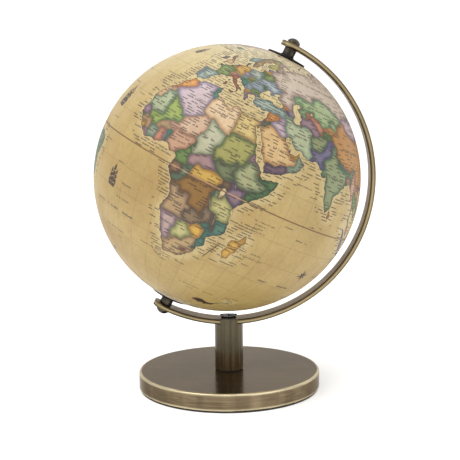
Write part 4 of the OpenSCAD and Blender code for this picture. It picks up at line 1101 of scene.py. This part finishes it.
def letter_strokes(net, u, v, salt):
    """1 where a pen stroke falls: stems and bars by chance in each letter's place, v from 0 to 1 up it."""
    cell = net.math("FLOOR", u)
    across = net.math("FRACT", u)

    def pick(number):
        return net.chance(cell, number, salt)

    def band(low, high):
        return net.times(net.ramp(across, low - .05, low + .05), net.ramp(across, high + .05, high - .05))

    tall = net.scaled(net.over(pick(1.0), .55), .35, .65)
    stem = net.times(band(.06, .38), net.under(v, tall))
    second = net.times(band(.52, .82), net.under(v, .7), net.over(pick(2.0), .25))
    level = net.scaled(net.over(pick(3.0), .5), .42, .14)
    bar = net.under(net.math("ABSOLUTE", net.minus(v, level)), .15)
    bar = net.times(bar, band(.06, .82), net.over(pick(4.0), .3))
    strokes = net.math("MAXIMUM", net.math("MAXIMUM", stem, second), bar)
    return net.times(strokes, net.within(v, 0.0, 1.0), net.over(pick(5.0), .1))


ROW = 1.2            # degrees of latitude from one row of town names to the next
TOWN = 4.6           # degrees along a row from one name's place to the next
TOWN_HEIGHT = .5     # height of a town name, in rows
TOWN_LETTER = .42    # degrees from one letter of a town name to the next
SMEAR = .62          # how far ink fills a name between its strokes


def town_names(net, lon, lat, at_sea, absent):
    """Small unreadable names in rows: one in each place along a row, of chance length, and some absent.

    Those on the sea, where at_sea is 1, are longer.
    """
    rows = net.math("DIVIDE", lat, ROW)
    row = net.math("FLOOR", rows)
    along = net.times(lon, net.math("COSINE", net.math("RADIANS", net.times(net.plus(row, .5), ROW))))
    shifted = net.plus(net.math("DIVIDE", along, TOWN), net.times(net.chance(row, 7.0, 1.0), 9.0))
    place = net.math("FLOOR", shifted)

    def pick(number):
        return net.chance(place, row, number)

    length = net.plus(net.scaled(pick(1.0), .42, .42), net.times(at_sea, .16))
    drop = net.scaled(pick(2.0), .36, .06)
    v = net.math("DIVIDE", net.minus(net.math("FRACT", rows), drop), TOWN_HEIGHT)
    shown = net.times(net.under(net.math("FRACT", shifted), length), net.over(pick(3.0), absent))
    strokes = letter_strokes(net, net.math("DIVIDE", along, TOWN_LETTER), v, row)
    return net.times(shown, net.math("MAXIMUM", strokes, net.times(net.within(v, .05, .75), SMEAR)))


GRID = 10.0          # degrees between the drawn meridians, and between the parallels
COAST_NAMES = 4.8    # degrees: how far out to sea the small names stand


def grid_distance(net, value):
    """Degrees from the value to the nearest drawn line."""
    turn = net.math("FRACT", net.plus(net.math("DIVIDE", value, GRID), .5))
    return net.times(net.math("ABSOLUTE", net.minus(turn, .5)), GRID)


def map_print():
    """The print: washes of ink, stained paper, grid, equator, coasts, borders and names, and painted light
    from above that makes the sea paler towards the north.
    """
    net = Net("printed_map")
    heart, rim = net.attribute("heart"), net.attribute("rim")
    kind = heart.outputs["Alpha"]
    border, coast = net.attribute("border").outputs["Fac"], net.attribute("coast").outputs["Fac"]
    u, v, _ = net.split(net.node("UVMap", uv_map="place").outputs[0])
    lon, lat = net.scaled(u, 360.0, -180.0), net.scaled(v, 180.0, -90.0)
    here = net.place()
    blotch, cloud = net.noise(here, 34, 4, .6), net.noise(here, 11, 3, .5)
    near = net.swayed(border, net.noise(here, 160, 2), .9)
    land, sea = net.over(kind, .7), net.under(kind, .1)
    # land: the wash deepens towards the borders, unevenly
    wash = net.ramp(net.swayed(near, blotch, 3.2), .1, 2.0, .85, 0)
    ground = net.mix(wash, heart.outputs["Color"], rim.outputs["Color"])
    # sea: a little paler beside the coasts, and paler towards the north as painted light from above
    shallow = net.ramp(net.swayed(coast, cloud, 4.0), .3, 4.5, .5, 0)
    coast_pale_and_top_light = net.math("MAXIMUM", shallow, net.ramp(lat, -5, 62, 0, .85))
    water = net.mix(coast_pale_and_top_light, heart.outputs["Color"], rim.outputs["Color"])
    # painted top light: the far north fades further towards a pale cream
    water = net.stain(water, net.ramp(lat, 42, 74, 0, .5), TOP_LIGHT_INK, "MIX")
    ground = net.mix(sea, ground, water)
    ground = net.stain(ground, net.within(kind, .4, .6), SEA_INK[1], "MIX")
    # paper: slow stains, blotches and fine fibre
    ground = net.stain(ground, net.ramp(cloud, .3, .75, 0, .3), (196, 162, 112))
    ground = net.stain(ground, net.ramp(blotch, .35, .7, 0, .18), (176, 146, 104))
    ground = net.stain(ground, net.ramp(net.noise(here, 420, 3), .35, .7, 0, .14), (150, 118, 78))
    # grid and equator
    meridian = net.times(grid_distance(net, lon), net.math("COSINE", net.math("RADIANS", lat)))
    nearest = net.math("MINIMUM", meridian, grid_distance(net, lat))
    grid_line = net.times(net.ramp(nearest, .05, .2, .34, 0), net.scaled(land, -.75, 1.0))
    ground = net.stain(ground, grid_line, (112, 84, 46), "MIX")
    equator = net.ramp(net.math("ABSOLUTE", lat), .16, .36, .85, 0)
    ground = net.mix(equator, ground, net.mix(land, srgb(112, 72, 44), srgb(196, 150, 116)))
    # a grey smudge, then the line itself, along coasts and borders
    smudge = net.times(net.ramp(net.swayed(near, blotch, 1.6), .2, 1.5, .36, 0), land)
    ground = net.stain(ground, smudge, (150, 140, 122))
    drawn = net.times(net.ramp(near, .12, .4, 1, 0), net.scaled(net.ramp(coast, .2, .5, 1, 0), .35, .35))
    ground = net.stain(ground, net.times(drawn, net.ramp(kind, .3, .35)), (62, 46, 34), "MIX")
    # names: small ones on land and beside coasts, kept off the borders, and the listed ones
    beside = net.times(sea, net.under(coast, COAST_NAMES))
    clear = net.times(net.math("MAXIMUM", land, beside), net.over(border, .35))
    words_u, words_v, _ = net.split(net.node("UVMap", uv_map="words").outputs[0])
    free = net.under(words_v, 0.0)
    few_inland, few_at_sea = net.ramp(cloud, .4, .6, .22, .55), net.ramp(lat, 22, 32, .46, .12)
    absent = net.plus(net.times(land, few_inland), net.times(beside, few_at_sea))
    towns = net.times(town_names(net, lon, lat, beside, absent), net.times(clear, free))
    ground = net.stain(ground, net.times(towns, .92), (52, 38, 28), "MIX")
    listed = letter_strokes(net, words_u, words_v, 3.0)
    ground = net.stain(ground, net.times(listed, .9), (50, 36, 26), "MIX")
    # the drawings are scratched a little, and the varnish tones everything down
    scratches = net.times(net.within(kind, .2, .3), net.ramp(net.noise(here, 700, 2), .54, .66, 0, .3))
    ground = net.stain(ground, scratches, (150, 112, 72), "MIX")
    ground = net.stain(ground, 1.0, PRINT_STRENGTH)
    net.bump(net.plus(net.noise(here, 900, 3), net.times(cloud, .6)), .06, .0004)
    roughness = net.ramp(blotch, .3, .7, .48, .6)
    return net.surface(base_color=ground, roughness=roughness, coat_weight=.06, coat_roughness=.45)


LACQUERED = .8    # how metallic the antiqued brass is under its lacquer


def brass(name, dark, light, along, grain, roughness, painted_light=(), edge_tint=(1, 1, 1)):
    """Antiqued metal: lines brushed along one direction and stains, with painted light on top: patches of
    other colours that stand in for highlights, reflections and shade.
    """
    net = Net(name)
    brushed = net.noise(net.place(along), 1.0, 4, .6)
    broad = net.noise(net.place(), 9, 2, .5)
    stains = net.scaled(net.noise(net.place(), 38, 4, .6), .35, net.times(broad, .5))
    tone = net.ramp(net.swayed(stains, brushed, grain), .2, .7)
    colour = net.mix(tone, srgb(*dark), srgb(*light))
    for where, patch_dark, patch_light in painted_light:
        colour = net.mix(where(net), colour, net.mix(tone, srgb(*patch_dark), srgb(*patch_light)))
    net.bump(brushed, .1, .0002)
    rough = net.ramp(brushed, .3, .7, roughness * .8, roughness * 1.25)
    return net.surface(base_color=colour, metallic=LACQUERED, roughness=rough, specular_tint=edge_tint)


BASE_LOW, BASE_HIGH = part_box("base_cover")
BASE_RADIUS = BASE_HIGH.x
COLUMN_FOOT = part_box("column_tube")[0].z
ARM_OUTER = BALL_PIVOT.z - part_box("meridian_arm")[0].z
ARM_THICK = .0038    # metres, as in the CAD


def height_and_reach(net):
    """Height, and distance from the middle line of the base."""
    x, y, z = net.split(net.place())
    return z, net.length(x, y)


def base_rim_highlights(net):
    """1 on the rounded edges of the base, at the top and bottom of its side, where highlights are painted."""
    z, r = height_and_reach(net)
    top_edge = net.times(net.ramp(z, BASE_HIGH.z - .0021, BASE_HIGH.z - .0008),
                         net.ramp(r, BASE_RADIUS - .0022, BASE_RADIUS - .0012))
    low_edge = net.times(net.ramp(z, BASE_LOW.z + .0022, BASE_LOW.z + .0009),
                         net.ramp(r, BASE_RADIUS - .003, BASE_RADIUS - .001))
    return net.math("MAXIMUM", top_edge, low_edge)


def base_side_sheen_and_shade(net):
    """The side of the base, lighter than its top in soft upright patches of painted reflection, less so to
    the left and right as painted shade.
    """
    x, _, _ = net.split(net.place())
    _, r = height_and_reach(net)
    side = net.ramp(r, BASE_RADIUS - .002, BASE_RADIUS - .0006)
    shade_toward_ends = net.ramp(net.math("ABSOLUTE", x), BASE_RADIUS * .5, BASE_RADIUS * .95, 1, .5)
    reflection_patch = net.noise(net.place((75, 75, 0)), 1.0, 2, .5)
    return net.times(side, shade_toward_ends, net.ramp(reflection_patch, .34, .66, .45, 1))


def from_pivot(net):
    """The way from the middle of the ball, in the plane of the arm, and its length."""
    x, _, z = net.split(net.place())
    z = net.minus(z, BALL_PIVOT.z)
    return x, z, net.length(x, z)


def arm_side(net):
    """1 on the narrow sides and ends of the arm, which look neither towards the ball nor away from it; their
    darker colour is painted shade.
    """
    x, z, length = from_pivot(net)
    nx, _, nz = net.split(net.node("NewGeometry").outputs["Normal"])
    facing = net.plus(net.times(x, nx), net.times(z, nz))
    return net.ramp(net.math("ABSOLUTE", net.math("DIVIDE", facing, length)), .35, .85, 1, 0)


def arm_highlight_line(net):
    """A painted highlight line down the middle of each narrow side."""
    _, _, length = from_pivot(net)
    off_middle = net.math("ABSOLUTE", net.minus(length, ARM_OUTER - ARM_THICK / 2))
    return net.times(arm_side(net), net.ramp(off_middle, .0003, .0011, 1, 0))


def column_foot(net):
    """The rounded lower edge of the column, where a highlight is painted."""
    _, _, z = net.split(net.place())
    return net.ramp(z, COLUMN_FOOT + .0015, COLUMN_FOOT + .0007)


def column_low_reflection(net):
    """The lower part of the column, warmer with a painted reflection of the base."""
    _, _, z = net.split(net.place())
    return net.ramp(z, COLUMN_FOOT + .019, COLUMN_FOOT + .006, 0, .8)


def dark_metal(name, dark, light, scale, roughness):
    """Blackened metal with stains."""
    net = Net(name)
    brushed = net.noise(net.place((scale,) * 3), 1.0, 4, .6)
    stains = net.noise(net.place(), 160, 4, .6)
    tone = net.ramp(net.plus(net.times(brushed, .6), net.times(stains, .4)), .3, .7)
    net.bump(stains, .08, .0002)
    rough = net.ramp(stains, .3, .7, roughness * .8, roughness * 1.2)
    return net.surface(base_color=net.mix(tone, srgb(*dark), srgb(*light)), metallic=.85, roughness=rough)


def plain_stuff(name, dark, light, scale, roughness, height=.0002, metallic=0.0):
    """Moulded plastic, foam, rubber or bare steel and iron: speckle and a fine bump."""
    net = Net(name)
    grain = net.noise(net.place(), scale, 4, .6)
    colour = net.mix(net.ramp(grain, .3, .7), srgb(*dark), srgb(*light))
    net.bump(grain, .3, height)
    rough = net.ramp(grain, .3, .7, roughness * .85, min(1, roughness * 1.15))
    return net.surface(base_color=colour, metallic=metallic, roughness=rough)


def dress(material, *nodes):
    for node in nodes:
        for slot in frame["nodes"][node].material_slots:
            slot.material = material


def both(name):
    """The two nodes with this name, at either end of the axle."""
    return name + "_north", name + "_south"


# Painted light on the stand: a reflection on the base's side, shade towards its left and right, highlights on
# its rims; a warm reflection of the base on the column's lower part and a highlight at its foot; shade on the
# arm's narrow sides and a highlight line down their middle.
BASE_PAINTED_LIGHT = ((base_side_sheen_and_shade, (96, 83, 64), (148, 131, 103)), (base_rim_highlights, (172, 159, 128), (216, 202, 168)))
COLUMN_PAINTED_LIGHT = ((column_low_reflection, (88, 70, 46), (134, 112, 82)), (column_foot, (120, 108, 82), (150, 136, 106)))
ARM_PAINTED_LIGHT = ((arm_side, (90, 79, 53), (113, 98, 70)), (arm_highlight_line, (138, 124, 90), (172, 156, 118)))
dress(brass("base_brass", (66, 55, 40), (94, 81, 62), (30, 150, 900), .7, .2, BASE_PAINTED_LIGHT, (.62, .58, .53)),
      "base_cover")
dress(brass("column_brass", (65, 59, 44), (104, 95, 74), (500, 500, 4), .8, .24, COLUMN_PAINTED_LIGHT),
      "column_tube")
dress(brass("arm_brass", (100, 84, 64), (134, 113, 90), (40, 900, 40), .6, .36, ARM_PAINTED_LIGHT, (.85, .8, .7)),
      "meridian_arm")
dress(dark_metal("gunmetal", (34, 31, 27), (86, 80, 69), 260, .26), *both("cap_nut"), *both("spacer"))
dress(dark_metal("screw_metal", (26, 22, 19), (58, 50, 43), 260, .42), "arm_screw")
dress(dark_metal("disc_metal", (20, 18, 16), (44, 40, 36), 300, .4), *both("pole_disc"))
dress(plain_stuff("pad_foam", (34, 31, 28), (54, 50, 45), 900, .95, .0005), "base_pad")
dress(plain_stuff("gasket_rubber", (22, 20, 18), (36, 33, 30), 700, .7), "column_gasket")
dress(plain_stuff("washer_nylon", (26, 24, 22), (44, 41, 38), 500, .6), *both("thrust_washer"))
dress(plain_stuff("cast_iron", (52, 50, 48), (84, 80, 76), 400, .6, .0004, .8), "base_weight")
dress(plain_stuff("zinc_steel", (150, 150, 146), (190, 190, 184), 500, .35, .0001, .9),
      "base_bolt", "base_bolt_washer", "column_foot_plug", "column_saddle_plug", "axle_rod")
dress(plain_stuff("shell_plastic", (202, 192, 170), (222, 214, 194), 300, .5), *both("shell"), "equator_ring")
dress(plain_stuff("bushing_nylon", (214, 210, 198), (232, 229, 220), 300, .5), *both("bushing"))

# ---------------------------------------------------------------- the two halves of the printed skin
map_material = map_print()
skin = printed_map()
for side in ("north", "south"):
    piece = half_map("map_skin_" + side, side == "north", skin)
    piece.data.materials.append(map_material)
    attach(piece, "ball")
    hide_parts("map_" + side)


# ---------------------------------------------------------------- floor, light and camera
FLOOR_FRONT, FLOOR_BACK, FLOOR_HALF_WIDTH = -2.5, 2.2, 3.0
WALL_HEIGHT, BEND_RADIUS = 2.6, 1.0
SOFTBOX_SIDE = 1.4


def backdrop():
    """A pale floor that curves up into a wall behind the object."""
    profile = [(FLOOR_FRONT, 0.0)]
    for t in np.linspace(0, math.pi / 2, 25):
        profile.append((FLOOR_BACK + BEND_RADIUS * math.sin(t), BEND_RADIUS * (1 - math.cos(t))))
    profile.append((FLOOR_BACK + BEND_RADIUS, WALL_HEIGHT))
    verts = [(side, y, z) for y, z in profile for side in (-FLOOR_HALF_WIDTH, FLOOR_HALF_WIDTH)]
    faces = [(2 * i, 2 * i + 1, 2 * i + 3, 2 * i + 2) for i in range(len(profile) - 1)]
    mesh = bpy.data.meshes.new("studio_floor")
    mesh.from_pydata(verts, [], faces)
    for p in mesh.polygons:
        p.use_smooth = True
    net = Net("floor_paper")
    paper = net.mix(net.noise(net.place(), 40, 2), (.93, .93, .93), (.95, .95, .95))
    mesh.materials.append(net.surface(base_color=paper, roughness=.9, emission_color=(1.0, 1.0, 1.0),
                                      emission_strength=.15))
    add_object("studio_floor", mesh)


def softbox(name, position, target, power):
    light = bpy.data.lights.new(name, "AREA")
    light.shape = "SQUARE"
    light.size = SOFTBOX_SIDE
    light.energy = power
    obj = add_object(name, light)
    obj.location = position
    obj.rotation_euler = (Vector(target) - Vector(position)).to_track_quat("-Z", "Y").to_euler()


backdrop()
world = bpy.data.worlds.new("studio")
bpy.context.scene.world = world
world.use_nodes = True
world.node_tree.nodes["Background"].inputs[0].default_value = (1, 1, 1, 1)
world.node_tree.nodes["Background"].inputs[1].default_value = 1.0
softbox("key", (-1.2, -1.0, 1.6), (0, 0, .16), 9.4)
softbox("fill", (1.4, -1.0, 1.1), (0, 0, .16), 4)
softbox("top", (-.3, -.4, 1.7), (0, 0, .2), 12)
bpy.context.scene.view_settings.view_transform = "Standard"

# Camera: turned about the ball's middle by the angle that the photograph shows.
VIEW_TURN, VIEW_RISE, VIEW_DISTANCE = math.radians(-.694), math.radians(6.0), .848
LOOK_DOWN, LOOK_RIGHT, ROLL = math.radians(8.638), math.radians(.116), math.radians(-.606)
IMAGE_SIDE, FOCAL_PIXELS, SENSOR = 460, 1125.0, 36.0
turn = Matrix.Rotation(VIEW_TURN, 3, "Z")
level_ahead = Vector((math.sin(LOOK_RIGHT), math.cos(LOOK_RIGHT), 0))
forward = turn @ (level_ahead * math.cos(LOOK_DOWN) - Vector((0, 0, math.sin(LOOK_DOWN))))
level = turn @ Vector((math.cos(LOOK_RIGHT), -math.sin(LOOK_RIGHT), 0))
right = level * math.cos(ROLL) + level.cross(forward) * math.sin(ROLL)
up = right.cross(forward)
camera_data = bpy.data.cameras.new("camera")
camera_data.sensor_width = SENSOR
camera_data.lens = SENSOR * FOCAL_PIXELS / IMAGE_SIDE
camera = add_object("camera", camera_data)
camera.matrix_world = Matrix((right, up, -forward)).transposed().to_4x4()
camera.location = BALL_PIVOT + turn @ Vector((0, -math.cos(VIEW_RISE), math.sin(VIEW_RISE))) * VIEW_DISTANCE
bpy.context.scene.camera = camera
